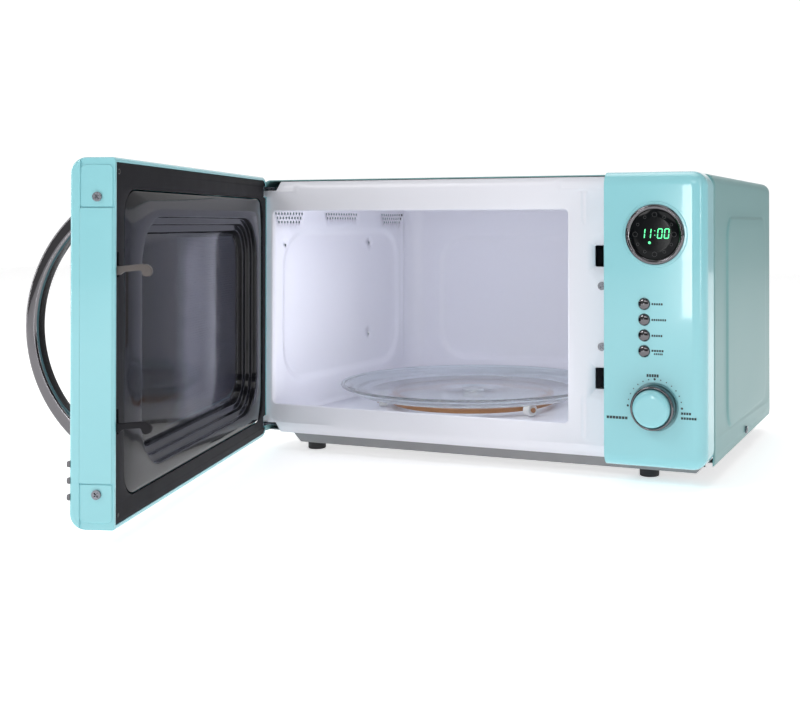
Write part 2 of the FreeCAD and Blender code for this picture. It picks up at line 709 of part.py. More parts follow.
def hinge_bracket(upper):
    """Cabinet-side hinge: leaf behind the front plate, arm through its notch and a pin."""
    arm_low = SHELL_TOP - 8.6 if upper else SHELL_BASE + 6.6
    leaf_low = SHELL_TOP - 42 if upper else SHELL_BASE + 6.6
    leaf_high = SHELL_TOP - 6.6 if upper else SHELL_BASE + 27
    left = -INSIDE + 0.9
    leaf = block((left, FRONT + 2.4, leaf_low), (OPENING_LEFT - 1.6, FRONT + 4.0, leaf_high))
    arm = block((left, FRONT + 2.4, arm_low), (-INSIDE + 14, FRONT + 12, arm_low + 2.0))
    neck = block((left, HINGE_Y, arm_low), (HINGE_X + 2.6, FRONT + 4, arm_low + 2.0))
    bracket = leaf.fuse(arm).fuse(neck).fuse(rod((HINGE_X, HINGE_Y, arm_low), Z, 2.6, 2.0))
    pin_start = arm_low - 6.8 if upper else arm_low + 1
    return bracket.fuse(rod((HINGE_X, HINGE_Y, pin_start), Z, PIN_RADIUS, 7.8))


# ---------------------------------------------------------------- controls


def panel_block(front, inset, radius):
    """Block of the control panel's outline with rounded right corners and front edges."""
    low = (PANEL_LEFT + inset, front, SHELL_BASE + 0.5 + inset)
    high = (HALF_WIDTH - inset, FRONT + (5 if inset else 0), SHELL_TOP + PANEL_ABOVE - inset)
    solid = block(low, high)
    solid = solid.makeFillet(CORNER_RADIUS - inset, edges_at(solid, Y, x=high[0]))
    return solid.makeFillet(radius, front_edges(solid, front, low[0]))


def button_heights():
    """Heights of the push buttons, top to bottom."""
    return [SHELL_BASE + BUTTON_TOP_Z - i * BUTTON_PITCH for i in range(BUTTON_COUNT)]


def control_panel():
    """Moulded panel beside the door, open at the back, with holes for the controls."""
    panel = panel_block(FACE, 0, FACE_RADIUS)
    panel = panel.cut(panel_block(FACE + MOULDING_WALL, MOULDING_WALL, FACE_RADIUS - MOULDING_WALL))
    display = (DISPLAY_X, FACE - 5, SHELL_BASE + DISPLAY_Z)
    rim = rod((DISPLAY_X, FACE - 0.8, SHELL_BASE + DISPLAY_Z), Y, DISPLAY_RADIUS + 2.4, 1.5)
    panel = panel.fuse(rim.makeFillet(0.7, [e for e in rim.Edges if e.Closed and e.CenterOfMass.y < FACE - 0.7]))
    panel = panel.cut(rod(display, Y, DISPLAY_RADIUS - 2.2, 20))
    panel = panel.cut(rod(display, Y, DISPLAY_RADIUS + 0.1, 5.6))
    knob_z = SHELL_BASE + KNOB_Z
    panel = panel.cut(rod((KNOB_X, FACE - 1, knob_z), Y, 4.4, 10))
    panel = panel.cut(rod((KNOB_X, FACE - 1, knob_z), Y, KNOB_RADIUS + 1.4, 2.4))
    for z in button_heights():
        panel = panel.cut(rod((BUTTON_X, FACE - 1, z), Y, BUTTON_RADIUS + CLEARANCE, 10))
    return panel


def display_ring():
    """Bright bezel round the display."""
    z = SHELL_BASE + DISPLAY_Z
    ring = tube((DISPLAY_X, FACE - 3.0, z), Y, DISPLAY_RADIUS, DISPLAY_RADIUS - 4, 3.6)
    front = [e for e in ring.Edges if e.Closed and e.CenterOfMass.y < FACE - 2.9]
    return ring.makeFillet(1.6, front)


def display_lens():
    """Dark round window of the display."""
    return rod((DISPLAY_X, FACE - 1.6, SHELL_BASE + DISPLAY_Z), Y, DISPLAY_RADIUS - 4.1, 2.2)


def display_module():
    """Light unit behind the lens: a case with a row of digits on its face."""
    z = SHELL_BASE + DISPLAY_Z
    case = block((DISPLAY_X - 15, FACE + 2.4, z - 12), (DISPLAY_X + 15, FACE + 8, z + 10))
    for i in range(4):
        left = DISPLAY_X - 12.5 + i * 6.4
        case = case.fuse(block((left, FACE + 1.6, z - 4), (left + 4.4, FACE + 2.6, z + 4.5)))
    return case


def control_board():
    """Circuit board behind the panel with a tact switch behind each button."""
    back = FACE + 14
    board = block((148, back, SHELL_BASE + 24), (208, back + 1.6, SHELL_BASE + 222))
    for z in button_heights():
        switch_low = (BUTTON_X - 3, FACE + 11.4, z - 3)
        board = board.fuse(block(switch_low, (BUTTON_X + 3, back, z + 3)))
    board = board.fuse(block((152, back + 1.6, SHELL_BASE + 80), (182, back + 16, SHELL_BASE + 108)))
    return board.cut(rod((KNOB_X, back - 2, SHELL_BASE + KNOB_Z), Y, 3.4, 6))


def button(z):
    """Domed push button with a collar behind the panel and a stem."""
    dome = rod((BUTTON_X, FACE - 2.6, z), Y, BUTTON_RADIUS, 2.6 + MOULDING_WALL)
    front = [e for e in dome.Edges if e.Closed and e.CenterOfMass.y < FACE - 2.5]
    dome = dome.makeFillet(2.3, front)
    collar = rod((BUTTON_X, FACE + MOULDING_WALL + 0.3, z), Y, BUTTON_RADIUS + 1.0, 1.2)
    neck = rod((BUTTON_X, FACE + MOULDING_WALL, z), Y, BUTTON_RADIUS, 0.5)
    stem = rod((BUTTON_X, FACE + 3, z), Y, 1.8, 6.8)
    return dome.fuse(neck).fuse(collar).fuse(stem)


def knob_collar():
    """Bright outer ring of the knob."""
    z = SHELL_BASE + KNOB_Z
    ring = tube((KNOB_X, FACE - 11.0, z), Y, KNOB_RADIUS, KNOB_RADIUS - 2.8, 11.3)
    front = [e for e in ring.Edges if e.Closed and e.CenterOfMass.y < FACE - 10.9]
    return ring.makeFillet(1.2, front)


def knob_cap():
    """Domed coloured face of the knob, with a socket for the shaft."""
    z = SHELL_BASE + KNOB_Z
    cap = rod((KNOB_X, FACE - KNOB_HEIGHT, z), Y, KNOB_RADIUS - 2.85, KNOB_HEIGHT - 1)
    front = [e for e in cap.Edges if e.Closed and e.CenterOfMass.y < FACE - KNOB_HEIGHT + 0.1]
    cap = cap.makeFillet(5.5, front)
    return cap.cut(rod((KNOB_X, FACE - KNOB_HEIGHT + 6, z), Y, 3.0, 20))


def encoder_shaft():
    """Shaft that turns with the knob, with a groove that carries the plunger."""
    z = SHELL_BASE + KNOB_Z
    shaft = rod((KNOB_X, FACE - KNOB_HEIGHT + 6.5, z), Y, 2.95, 22)
    return shaft.fuse(rod((KNOB_X, FACE + 12.4, z), Y, 1.2, 5.4))


def encoder_plunger():
    """Sleeve that slides with the knob when it is pressed and closes the start switch."""
    return tube((KNOB_X, FACE + 13.2, SHELL_BASE + KNOB_Z), Y, 2.9, 1.25, 6.0)


def encoder_body():
    """Rotary encoder on the board, with its threaded bush."""
    z = SHELL_BASE + KNOB_Z
    start = FACE + 15.7
    case = block((KNOB_X - 7, start, z - 7), (KNOB_X + 7, start + 8, z + 7))
    case = case.cut(rod((KNOB_X, start - 1, z), Y, 3.2, 6.5))
    bush = tube((KNOB_X, FACE + MOULDING_WALL + 0.2, z), Y, 4.2, 3.05, 11.6)
    return case.fuse(bush)


# ---------------------------------------------------------------- turntable


def glass_tray():
    """Glass tray with a raised rim and a hub socket underneath."""
    rim_z = SHELL_BASE + TRAY_RIM
    bottom = TRAY_BOTTOM
    half = [
        Vector(7.5, 0, bottom),
        Vector(TRAY_RADIUS - 26, 0, bottom),
        Vector(TRAY_RADIUS - 12, 0, bottom + 3.2),
        Vector(TRAY_RADIUS - 1.5, 0, rim_z - 3.0),
        Vector(TRAY_RADIUS, 0, rim_z - 1.2),
        Vector(TRAY_RADIUS - 1.6, 0, rim_z),
        Vector(TRAY_RADIUS - 4.5, 0, rim_z - 1.4),
        Vector(TRAY_RADIUS - 14, 0, bottom + 3.2 + TRAY_GLASS),
        Vector(TRAY_RADIUS - 27, 0, bottom + TRAY_GLASS),
        Vector(0, 0, bottom + TRAY_GLASS),
        Vector(0, 0, bottom + 2.0),
        Vector(7.5, 0, bottom + 2.0),
    ]
    profile = Part.Face(Part.makePolygon(half + [half[0]]))
    tray = profile.revolve(Vector(), Z, 360)
    tray.translate(Vector(TRAY_X, TRAY_Y, 0))
    return tray


def turntable_coupler():
    """Drive piece under the tray, with three lugs and a shaft into the motor."""
    bottom = TRAY_BOTTOM
    hub = rod((TRAY_X, TRAY_Y, FLOOR_Z + 0.8), Z, 11.0, bottom - FLOOR_Z - 1.1)
    boss = rod((TRAY_X, TRAY_Y, bottom - 0.5), Z, 5.0, 2.2)
    shaft = rod((TRAY_X, TRAY_Y, FLOOR_Z - 12), Z, 3.5, 14)
    coupler = hub.fuse(boss).fuse(shaft)
    for i in range(3):
        lug = block((4, -1.5, bottom - 0.5), (7.0, 1.5, bottom + 1.7))
        lug.rotate(Vector(), Z, 120 * i)
        lug.translate(Vector(TRAY_X, TRAY_Y, 0))
        coupler = coupler.fuse(lug)
    return coupler


def roller_centres():
    """Angle, centre and outward direction of each roller of the ring."""
    centres = []
    for i in range(ROLLER_COUNT):
        angle = math.radians(90 + 360 / ROLLER_COUNT * i)
        outward = Vector(math.cos(angle), math.sin(angle), 0)
        height = FLOOR_Z + CLEARANCE + ROLLER_RADIUS
        centre = Vector(TRAY_X, TRAY_Y, height) + outward * ROLLER_CIRCLE
        centres.append((centre, outward))
    return centres


def roller_ring():
    """Loose ring that carries the rollers between the floor and the tray."""
    middle = FLOOR_Z + CLEARANCE + ROLLER_RADIUS
    low = Vector(TRAY_X, TRAY_Y, middle - 2)
    ring = rod(low, Z, ROLLER_CIRCLE - 8, 4).cut(rod(low, Z, ROLLER_CIRCLE - 14, 4))
    for centre, outward in roller_centres():
        axle = rod(centre - outward * 9, outward, 1.5, 14)
        head = rod(centre + outward * 4.6, outward, 2.4, 1.2)
        ring = ring.fuse(axle).fuse(head)
    return ring


def roller(centre, outward):
    """Small wheel that rolls on the cavity floor."""
    start = centre - outward * 4
    return tube(start, outward, ROLLER_RADIUS, 1.58, 8)


def turntable_motor():
    """Flat synchronous motor under the cavity floor."""
    case = rod((TRAY_X, TRAY_Y, FOOT_HEIGHT + 3.0), Z, 24, 15)
    ears = rounded_block((TRAY_X - 32, TRAY_Y - 5, FOOT_HEIGHT + 16.5), (TRAY_X + 32, TRAY_Y + 5, FOOT_HEIGHT + 18), 4, Z)
    boss = rod((TRAY_X, TRAY_Y, FOOT_HEIGHT + 18), Z, 7, 4.5)
    terminals = block((TRAY_X - 6, TRAY_Y + 22, FOOT_HEIGHT + 6), (TRAY_X + 6, TRAY_Y + 32, FOOT_HEIGHT + 12))
    motor = case.fuse(ears).fuse(boss).fuse(terminals)
    return motor.cut(rod((TRAY_X, TRAY_Y, FLOOR_Z - 12.5), Z, 3.56, 20))


# ---------------------------------------------------------------- works


def against_wall(shape):
    """Turn a piece built square to the front so that it follows the right cavity wall."""
    turned = shape.copy()
    turned.rotate(Vector(OPENING_RIGHT, FRONT, 0), Z, WALL_SLOPE)
    return turned


def waveguide_cover():
    """Mica sheet over the microwave inlet on the right cavity wall."""
    sheet = block((OPENING_RIGHT - 0.9, -45, FLOOR_Z + 52), (OPENING_RIGHT - 0.3, 40, FLOOR_Z + 138))
    return against_wall(sheet)


def waveguide():
    """Sheet-metal duct from the magnetron to the cavity wall."""
    low = (OPENING_RIGHT + SHEET + 0.2, GUIDE_Y[0], FLOOR_Z + GUIDE_Z[0])
    high = (OPENING_RIGHT + 22, GUIDE_Y[1], FLOOR_Z + GUIDE_Z[1] + 40)
    duct = block(low, high)
    hollow = block((low[0] - 1, low[1] + SHEET, low[2] + SHEET), (high[0] - SHEET, high[1] - SHEET, high[2] - SHEET))
    duct = duct.cut(hollow).cut(rod((high[0] - 3, -2, SHELL_BASE + 165), X, 10, 6))
    return against_wall(duct)


def magnetron():
    """Magnetron: frame, cooling fins, magnets, filter box and antenna."""
    left = OPENING_RIGHT + 22.4
    low_z = SHELL_BASE + 125
    frame = block((left, -44, low_z), (left + 62, 40, low_z + 78))
    frame = frame.cut(block((left + 2, -42, low_z - 1), (left + 60, 38, low_z + 90)))
    for i in range(MAGNETRON_FINS):
        x = left + 17 + i * FIN_PITCH
        frame = frame.fuse(block((x, -42, low_z + 8), (x + 0.6, 38, low_z + 70)))
    anode = rod((left + 1, -2, low_z + 40), X, 18, 60)
    antenna = rod((left - 12, -2, low_z + 40), X, 7.5, 14)
    box = block((left + 62, -26, low_z + 22), (left + 84, 22, low_z + 58))
    return against_wall(frame.fuse(anode).fuse(antenna).fuse(box))


def transformer_core():
    """Laminated core of the high-voltage transformer on its base plate."""
    low_z = FOOT_HEIGHT + SHEET
    core = block((118, -70, low_z), (196, -12, low_z + 62))
    for side in (-1, 1):
        middle = 157 + side * 18
        core = core.cut(block((middle - 7, -71, low_z + 14), (middle + 7, -11, low_z + 46)))
    plate = block((112, -76, low_z), (202, -6, low_z + 1.5))
    return core.fuse(plate)


def transformer_windings():
    """Copper windings round the middle limb of the core."""
    low_z = FOOT_HEIGHT + SHEET + 14.3
    outer = rounded_block((143.4, -82, low_z), (170.6, 0, low_z + 31.4), 6, Z)
    return outer.cut(block((145.9, -70.3, low_z - 1), (168.1, -11.7, low_z + 40)))


def capacitor():
    """High-voltage capacitor with two terminals."""
    low_z = FOOT_HEIGHT + SHEET
    can = rounded_block((110, 62, low_z), (166, 96, low_z + 52), 16, Z)
    for x in (128, 148):
        can = can.fuse(block((x - 3, 78.6, low_z + 52), (x + 3, 79.4, low_z + 62)))
    return can


def fan_centre():
    """Middle of the cooling fan, on the back cover."""
    return (FAN_X, BACK - 22, SHELL_BASE + FAN_HEIGHT)


def fan_duct():
    """Square plate with a round shroud behind the back grille."""
    x, y, z = fan_centre()
    plate = rounded_block((x - 46, y + 8, z - 50), (x + 46, y + 10, z + 50), 4, Y)
    shroud = rod((x, y - 8, z), Y, FAN_RADIUS + 4, 17)
    return plate.fuse(shroud).cut(rod((x, y - 9, z), Y, FAN_RADIUS + 2.5, 30))


def fan_blade():
    """Five-bladed fan with its shaft."""
    x, y, z = fan_centre()
    fan = rod((x, y - 6, z), Y, 9, 12).fuse(rod((x, y - 22, z), Y, 2.5, 20))
    for i in range(FAN_BLADES):
        blade = block((-9, -0.8, 8), (9, 0.8, FAN_RADIUS))
        blade.rotate(Vector(), Z, 32)
        blade.rotate(Vector(), Y, 360 / FAN_BLADES * i)
        blade.translate(Vector(x, y, z))
        fan = fan.fuse(blade)
    return fan


def fan_motor():
    """Shaded-pole motor in front of the fan, with its two mounting arms."""
    x, y, z = fan_centre()
    stack = block((x - 26, y - 34, z - 26), (x + 26, y - 18, z + 22))
    coil = rounded_block((x - 15, y - 41, z - 40), (x + 15, y - 11, z - 24), 5, X)
    bearing = rod((x, y - 38, z), Y, 9, 24)
    motor = stack.fuse(coil).fuse(bearing)
    for side in (-1, 1):
        arm_low = (x + side * 44.5 - 1.5, y - 30, z - 4)
        arm = block(arm_low, (arm_low[0] + 3, y + 8, z + 4))
        tie_low = (min(x + side * 24, x + side * 46), y - 30, z - 4)
        tie_high = (max(x + side * 24, x + side * 46), y - 27, z + 4)
        motor = motor.fuse(arm).fuse(block(tie_low, tie_high))
    return motor.cut(rod((x, y - 40, z), Y, 2.55, 30))


def cavity_lamp():
    """Lamp: glass bulb and its socket beside the right cavity wall."""
    z = FLOOR_Z + LAMP_HEIGHT
    bulb = rod((OPENING_RIGHT + 1.5, LAMP_Y, z), X, 8, 18)
    bulb = bulb.makeFillet(6, [e for e in bulb.Edges if e.Closed and e.CenterOfMass.x < OPENING_RIGHT + 2])
    return against_wall(bulb)


def lamp_socket():
    """Holder that carries the lamp."""
    z = FLOOR_Z + LAMP_HEIGHT
    left = OPENING_RIGHT + 19.8
    socket = rod((left, LAMP_Y, z), X, 10, 14)
    bracket = block((OPENING_RIGHT + 1.2, LAMP_Y + 11, z - 8), (left + 6, LAMP_Y + 12.5, z + 8))
    arm = block((left + 2, LAMP_Y, z - 3), (left + 6, LAMP_Y + 12, z + 3))
    return against_wall(socket.fuse(bracket).fuse(arm))


def latch_bracket():
    """Bracket behind the front plate that receives both hooks."""
    front = FRONT + 1.4
    right = SLOT_RIGHT + 1.2
    spine = block((right, front, SHELL_BASE + 45), (right + 3, front + 52, SHELL_BASE + 200))
    for level in HOOK_LEVELS:
        base = SHELL_BASE + level
        ledge = block((SLOT_LEFT, front, base - 4), (right, front + 34, base - 0.8))
        roof = block((SLOT_LEFT, front, base + SLOT_HEIGHT + 0.8), (right, front + 34, base + SLOT_HEIGHT + 3.4))
        stop = block((SLOT_LEFT, front + 32, base - 4), (right, front + 34, base + SLOT_HEIGHT + 3.4))
        spine = spine.fuse(ledge).fuse(roof).fuse(stop)
    return spine


def door_switches():
    """Three door switches on the latch bracket."""
    switches = []
    left = SLOT_RIGHT + 4.6
    for z in (66, 120, 171):
        case = block((left, FRONT + 18, SHELL_BASE + z - 8), (left + 10, FRONT + 46, SHELL_BASE + z + 8))
        for step in (-8, 0, 8):
            tab_low = (left + 4.6, FRONT + 46, SHELL_BASE + z + step * 0.7 - 1.5)
            case = case.fuse(block(tab_low, (left + 5.4, FRONT + 53, tab_low[2] + 3)))
        switches.append(case)
    return Part.makeCompound(switches)


def filter_board():
    """Mains filter board with its fuse and choke, on the outer side wall."""
    left = INSIDE - 16
    board = block((left, 20, SHELL_BASE + 205), (left + 1.6, 90, SHELL_BASE + 236))
    choke = block((left - 14, 52, SHELL_BASE + 210), (left, 82, SHELL_BASE + 230))
    return board.fuse(choke).fuse(rod((left - 4, 26, SHELL_BASE + 216), Y, 4.4, 22))


def export(name, shape):
    """Write one node's solids."""
    solids = shape.Solids
    kept = solids[0] if len(solids) == 1 else Part.makeCompound(solids)
    print(name, len(solids), "solids", round(kept.Volume), "mm3", "valid" if kept.isValid() else "INVALID")
    kept.exportStep(f"parts/{name}.step")


def fixed_nodes():
    """Every piece that stays with the cabinet."""
    nodes = {
        "cabinet_wrap": cabinet_wrap(),
        "front_plate": front_plate(),
        "cavity_box": cavity_box(),
        "base_pan": base_pan(),
        "feet": Part.makeCompound([foot(x, y) for x, y in foot_places()]),
        "rear_panel": rear_panel(),
        "cord_gland": cord_gland(),
        "cabinet_screws": cabinet_screws(),
        "upper_hinge": hinge_bracket(True),
        "lower_hinge": hinge_bracket(False),
        "latch_bracket": latch_bracket(),
        "door_switches": door_switches(),
        "control_panel": control_panel(),
        "display_ring": display_ring(),
        "display_lens": display_lens(),
        "display_module": display_module(),
        "control_board": control_board(),
        "encoder_body": encoder_body(),
        "turntable_motor": turntable_motor(),
        "waveguide_cover": waveguide_cover(),
        "waveguide": waveguide(),
        "magnetron": magnetron(),
        "transformer_core": transformer_core(),
        "transformer_windings": transformer_windings(),
        "capacitor": capacitor(),
        "fan_duct": fan_duct(),
        "fan_motor": fan_motor(),
        "cavity_lamp": cavity_lamp(),
        "lamp_socket": lamp_socket(),
        "filter_board": filter_board(),
    }
    return nodes


def door_nodes():
    """Every piece that swings with the door, built shut."""
    nodes = {
        "door_frame": door_frame(),
        "door_edge_strip": door_edge_strip(),
        "door_screws": door_screws(),
        "window_trim": window_trim(),
        "door_glass": door_glass(),
        "door_plate": door_plate(),
        "door_screen": door_screen(),
        "inner_window": inner_window(),
        "choke_cover": choke_cover(),
        "latch_guide": latch_guide(),
        "latch_key": latch_key(),
        "latch_spring": latch_spring(),
        "handle": handle(),
        "trim_strips": Part.makeCompound([trim_strip(level) for level in TRIM_LEVELS]),
    }
    return nodes


def moving_nodes():
    """Pieces on the cabinet that move by themselves."""
    nodes = {
        "knob_collar": knob_collar(),
        "knob_cap": knob_cap(),
        "encoder_shaft": encoder_shaft(),
        "encoder_plunger": encoder_plunger(),
        "glass_tray": glass_tray(),
        "turntable_coupler": turntable_coupler(),
        "roller_ring": roller_ring(),
        "fan_blade": fan_blade(),
    }
    for number, z in enumerate(button_heights(), 1):
        nodes[f"button_{number}"] = button(z)
    for number, (centre, outward) in enumerate(roller_centres(), 1):
        nodes[f"roller_{number}"] = roller(centre, outward)
    return nodes


os.makedirs("parts", exist_ok=True)
for node, solid in fixed_nodes().items():
    export(node, solid)
for node, solid in door_nodes().items():
    export(node, swing_open(solid))
for node, solid in moving_nodes().items():
    export(node, solid)
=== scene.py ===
import bmesh
import bpy
import json
import math
import numpy as np
from mathutils import Matrix, Vector, geometry


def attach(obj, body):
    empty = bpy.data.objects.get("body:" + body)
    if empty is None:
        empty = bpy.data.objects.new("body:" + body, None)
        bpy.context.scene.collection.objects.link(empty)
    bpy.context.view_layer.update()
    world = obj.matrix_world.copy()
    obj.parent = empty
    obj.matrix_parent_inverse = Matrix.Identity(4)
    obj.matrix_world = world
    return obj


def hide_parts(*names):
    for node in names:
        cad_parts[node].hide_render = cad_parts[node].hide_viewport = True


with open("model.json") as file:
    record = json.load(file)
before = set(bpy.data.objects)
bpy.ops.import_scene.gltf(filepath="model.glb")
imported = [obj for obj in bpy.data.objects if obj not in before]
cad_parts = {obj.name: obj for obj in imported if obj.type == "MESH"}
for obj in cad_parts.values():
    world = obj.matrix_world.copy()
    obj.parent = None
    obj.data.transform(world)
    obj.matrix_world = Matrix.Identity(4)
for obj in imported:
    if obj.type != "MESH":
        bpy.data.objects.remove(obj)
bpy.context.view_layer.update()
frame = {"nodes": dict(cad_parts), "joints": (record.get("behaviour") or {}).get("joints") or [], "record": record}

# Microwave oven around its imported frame. Lengths inside the functions are millimetres;
# piece() turns them into metres. Door and latch pieces are built shut and then swung open.

MM = 0.001
NODES = frame["nodes"]
HINGE = next(j for j in frame["joints"] if j["name"] == "door_hinge")
HINGE_AT = Vector(HINGE["pos_m"])
DOOR_ANGLE = math.radians(HINGE["range_deg"][0])
TURN = Matrix.Rotation(DOOR_ANGLE, 4, "Z")
SWING = Matrix.Translation(HINGE_AT) @ TURN @ Matrix.Translation(-HINGE_AT)
UNSWING = SWING.inverted()
SWUNG_BODIES = ("door", "latch")
SCENE = bpy.context.scene.collection
RAMP = ("From Min", "From Max", "To Min", "To Max")


def span(node, shut=False):
    """Lowest and highest corner of a CAD node in millimetres, with the door shut if asked."""
    points = [v.co for v in NODES[node].data.vertices]
    if shut:
        points = [UNSWING @ p for p in points]
    array = np.array(points, float) / MM
    return Vector(array.min(0)), Vector(array.max(0))


# ------------------------------------------------------------ materials


class Nodes:
    """Small helper that adds and links shader nodes."""

    def __init__(self, name):
        self.material = bpy.data.materials.new(name)
        self.material.use_nodes = True
        self.tree = self.material.node_tree
        self.shader = self.tree.nodes["Principled BSDF"]

    def add(self, kind, **values):
        node = self.tree.nodes.new(kind)
        for key, value in values.items():
            if key in node.inputs:
                node.inputs[key].default_value = value
            else:
                setattr(node, key, value)
        return node

    def link(self, source, target):
        self.tree.links.new(source, target)

    def coords(self):
        return self.add("ShaderNodeTexCoord").outputs["Object"]

    def noise(self, scale, detail, vector=None):
        node = self.add("ShaderNodeTexNoise", Scale=scale, Detail=detail)
        self.link(vector or self.coords(), node.inputs["Vector"])
        return node.outputs["Fac"]

    def spread(self, source, low, high):
        node = self.add("ShaderNodeMapRange", **dict(zip(RAMP, (0.3, 0.7, low, high))))
        self.link(source, node.inputs["Value"])
        return node.outputs["Result"]

    def mix(self, factor, first, second):
        node = self.add("ShaderNodeMix", data_type="RGBA")
        for value, socket in ((first, node.inputs[6]), (second, node.inputs[7])):
            if hasattr(value, "links"):
                self.link(value, socket)
            else:
                socket.default_value = (*value, 1)
        self.link(factor, node.inputs[0])
        return node.outputs[2]
    def bump(self, height, strength, depth, normal=None):
        node = self.add("ShaderNodeBump", Strength=strength, Distance=depth * MM)
        self.link(height, node.inputs["Height"])
        if normal:
            self.link(normal, node.inputs["Normal"])
        self.link(node.outputs["Normal"], self.shader.inputs["Normal"])

    def set(self, **sockets):
        for key, value in sockets.items():
            self.shader.inputs[key.replace("_", " ")].default_value = value


def shade(colour, amount):
    """Colour made darker or lighter."""
    return tuple(min(1.0, c * amount) for c in colour)


def finish(name, colour, rough, metallic=0.0, vary=0.06, rough_vary=0.3, patch=18, grain=900,
           bump=0.05, depth=0.1, edge=0.0, stretch=None, **sockets):
    """Procedural surface: patchy colour, uneven roughness, fine bump and, if asked, softened edges."""
    n = Nodes(name)
    patches = n.spread(n.noise(patch, 4), 0, 1)
    n.link(n.mix(patches, shade(colour, 1 - vary), shade(colour, 1 + vary * 0.6)),
           n.shader.inputs["Base Color"])
    n.link(n.spread(n.noise(patch * 3.1, 5), rough * (1 - rough_vary), rough * (1 + rough_vary)),
           n.shader.inputs["Roughness"])
    vector = n.coords()
    if stretch:
        mapping = n.add("ShaderNodeMapping", Scale=stretch)
        n.link(vector, mapping.inputs["Vector"])
        vector = mapping.outputs["Vector"]
    soft = n.add("ShaderNodeBevel", Radius=edge * MM, samples=4).outputs["Normal"] if edge else None
    n.bump(n.noise(grain, 3, vector), bump, depth, soft)
    n.set(Metallic=metallic, **sockets)
    return n.material


RECIPES = {
    # The wrap's aqua is set darker and greyer than the panel's aqua plastic: painted shade, laid over the wrap's
    # own aqua paint, because its sides lie out of the front light.
    "aqua_enamel": dict(colour=(0.20, 0.395, 0.40), rough=0.36, vary=0.006, rough_vary=0.03,
                        patch=3, grain=1400),
    "white_enamel": dict(colour=(0.90, 0.90, 0.97), rough=0.30, vary=0.004, rough_vary=0.03,
                         patch=3, grain=1200, bump=0.02),
    "grey_steel": dict(colour=(0.30, 0.30, 0.31), rough=0.42, metallic=0.7, vary=0.04,
                       rough_vary=0.15, patch=24, bump=0.06),
    "bright_steel": dict(colour=(0.24, 0.25, 0.28), rough=0.26, metallic=1.0, vary=0.1, patch=90,
                         bump=0.08),
    "aqua_plastic": dict(colour=(0.305, 0.675, 0.735), rough=0.13, vary=0.006, rough_vary=0.05,
                         patch=4, grain=300, bump=0.008, depth=0.3, Coat_Weight=0.45,
                         Coat_Roughness=0.03),
    "chrome": dict(colour=(0.16, 0.155, 0.165), rough=0.05, metallic=1.0, vary=0.03, grain=600,
                   bump=0.01),
    "black_enamel": dict(colour=(0.007, 0.007, 0.010), rough=0.09, vary=0.1, grain=400, bump=0.01,
                         Specular_IOR_Level=0.4),
    "black_plastic": dict(colour=(0.011, 0.010, 0.013), rough=0.62, vary=0.03, rough_vary=0.04,
                          grain=2200, bump=0.06, depth=0.05, Specular_IOR_Level=0.22),
    "perforated_steel": dict(colour=(0.075, 0.075, 0.115), rough=0.45, metallic=0.2, vary=0.08,
                             grain=1500),
    "tan_plastic": dict(colour=(0.40, 0.19, 0.08), rough=0.42, vary=0.10, grain=1500, bump=0.15),
    "white_plastic": dict(colour=(0.80, 0.80, 0.78), rough=0.35, vary=0.03, grain=1500, bump=0.1),
    "rubber": dict(colour=(0.018, 0.018, 0.02), rough=0.65, vary=0.2, grain=1800, bump=0.3),
    "circuit_board": dict(colour=(0.04, 0.20, 0.09), rough=0.35, vary=0.25, patch=220, bump=0.1),
    "copper": dict(colour=(0.60, 0.24, 0.10), rough=0.3, metallic=0.9, vary=0.15, patch=150,
                   grain=2500, bump=0.5, stretch=(1, 1, 6)),
    "aluminium": dict(colour=(0.66, 0.66, 0.68), rough=0.32, metallic=1.0, vary=0.08, patch=80,
                      bump=0.1),
    "mica": dict(colour=(0.50, 0.42, 0.30), rough=0.5, vary=0.15, patch=140, grain=1600, bump=0.3),
}
MATERIALS = {slot: finish(slot, **recipe) for slot, recipe in RECIPES.items()}
CARRIED = {slot: finish(slot + "_edged", edge=0.35, **recipe) for slot, recipe in RECIPES.items()}


def clear(name, colour, rough, transmission=1.0, ior=1.5, **sockets):
    """Procedural glass: faint tint and roughness changes, with a slow surface wave."""
    n = Nodes(name)
    tint = n.mix(n.spread(n.noise(14, 3), 0, 1), shade(colour, 0.96), colour)
    n.link(tint, n.shader.inputs["Base Color"])
    n.link(n.spread(n.noise(60, 4), rough * 0.6, rough * 1.5), n.shader.inputs["Roughness"])
    n.bump(n.noise(45, 2), 0.03, 0.2)
    n.set(Transmission_Weight=transmission, IOR=ior, **sockets)
    return n.material


MATERIALS["clear_glass"] = clear("clear_glass", (0.90, 0.975, 0.97), 0.03, Alpha=0.85)
MATERIALS["clear_sheet"] = clear("clear_sheet", (0.90, 0.90, 0.95), 0.10, ior=1.45)
MATERIALS["dark_glass"] = clear("dark_glass", (0.05, 0.055, 0.06), 0.05, transmission=0.75)
LENS_BLACK = finish("lens_black", (0.004, 0.005, 0.006), 0.12, vary=0.2, grain=300, bump=0.01,
                    Specular_IOR_Level=0.15)
# Lighter brownish grey. On the upper latch hook it is a painted highlight over the same black plastic as the lower
# hook; it is also the colour of the small ring mark on the rim.
HOOK_BROWN = finish("hook_brown", (0.10, 0.085, 0.08), 0.45, vary=0.1, grain=1500, bump=0.1)
DIAL_INK = finish("dial_ink", (0.012, 0.03, 0.035), 0.35, vary=0.1, bump=0.02)
LENS_INK = finish("lens_ink", (0.035, 0.037, 0.04), 0.3, vary=0.1, bump=0.02)
GLOW = finish("display_glow", (0.02, 0.10, 0.05), 0.3, vary=0.1, bump=0.02,
              Emission_Color=(0.12, 1.0, 0.38, 1), Emission_Strength=1.7)


# ------------------------------------------------------------ mesh helpers


def piece(name, points, faces, *rest, **named):
    """New mesh object from millimetre points."""
    mesh = bpy.data.meshes.new(name)
    mesh.from_pydata([Vector(p) * MM for p in points], [], faces)
    return settle(name, mesh, *rest, **named)


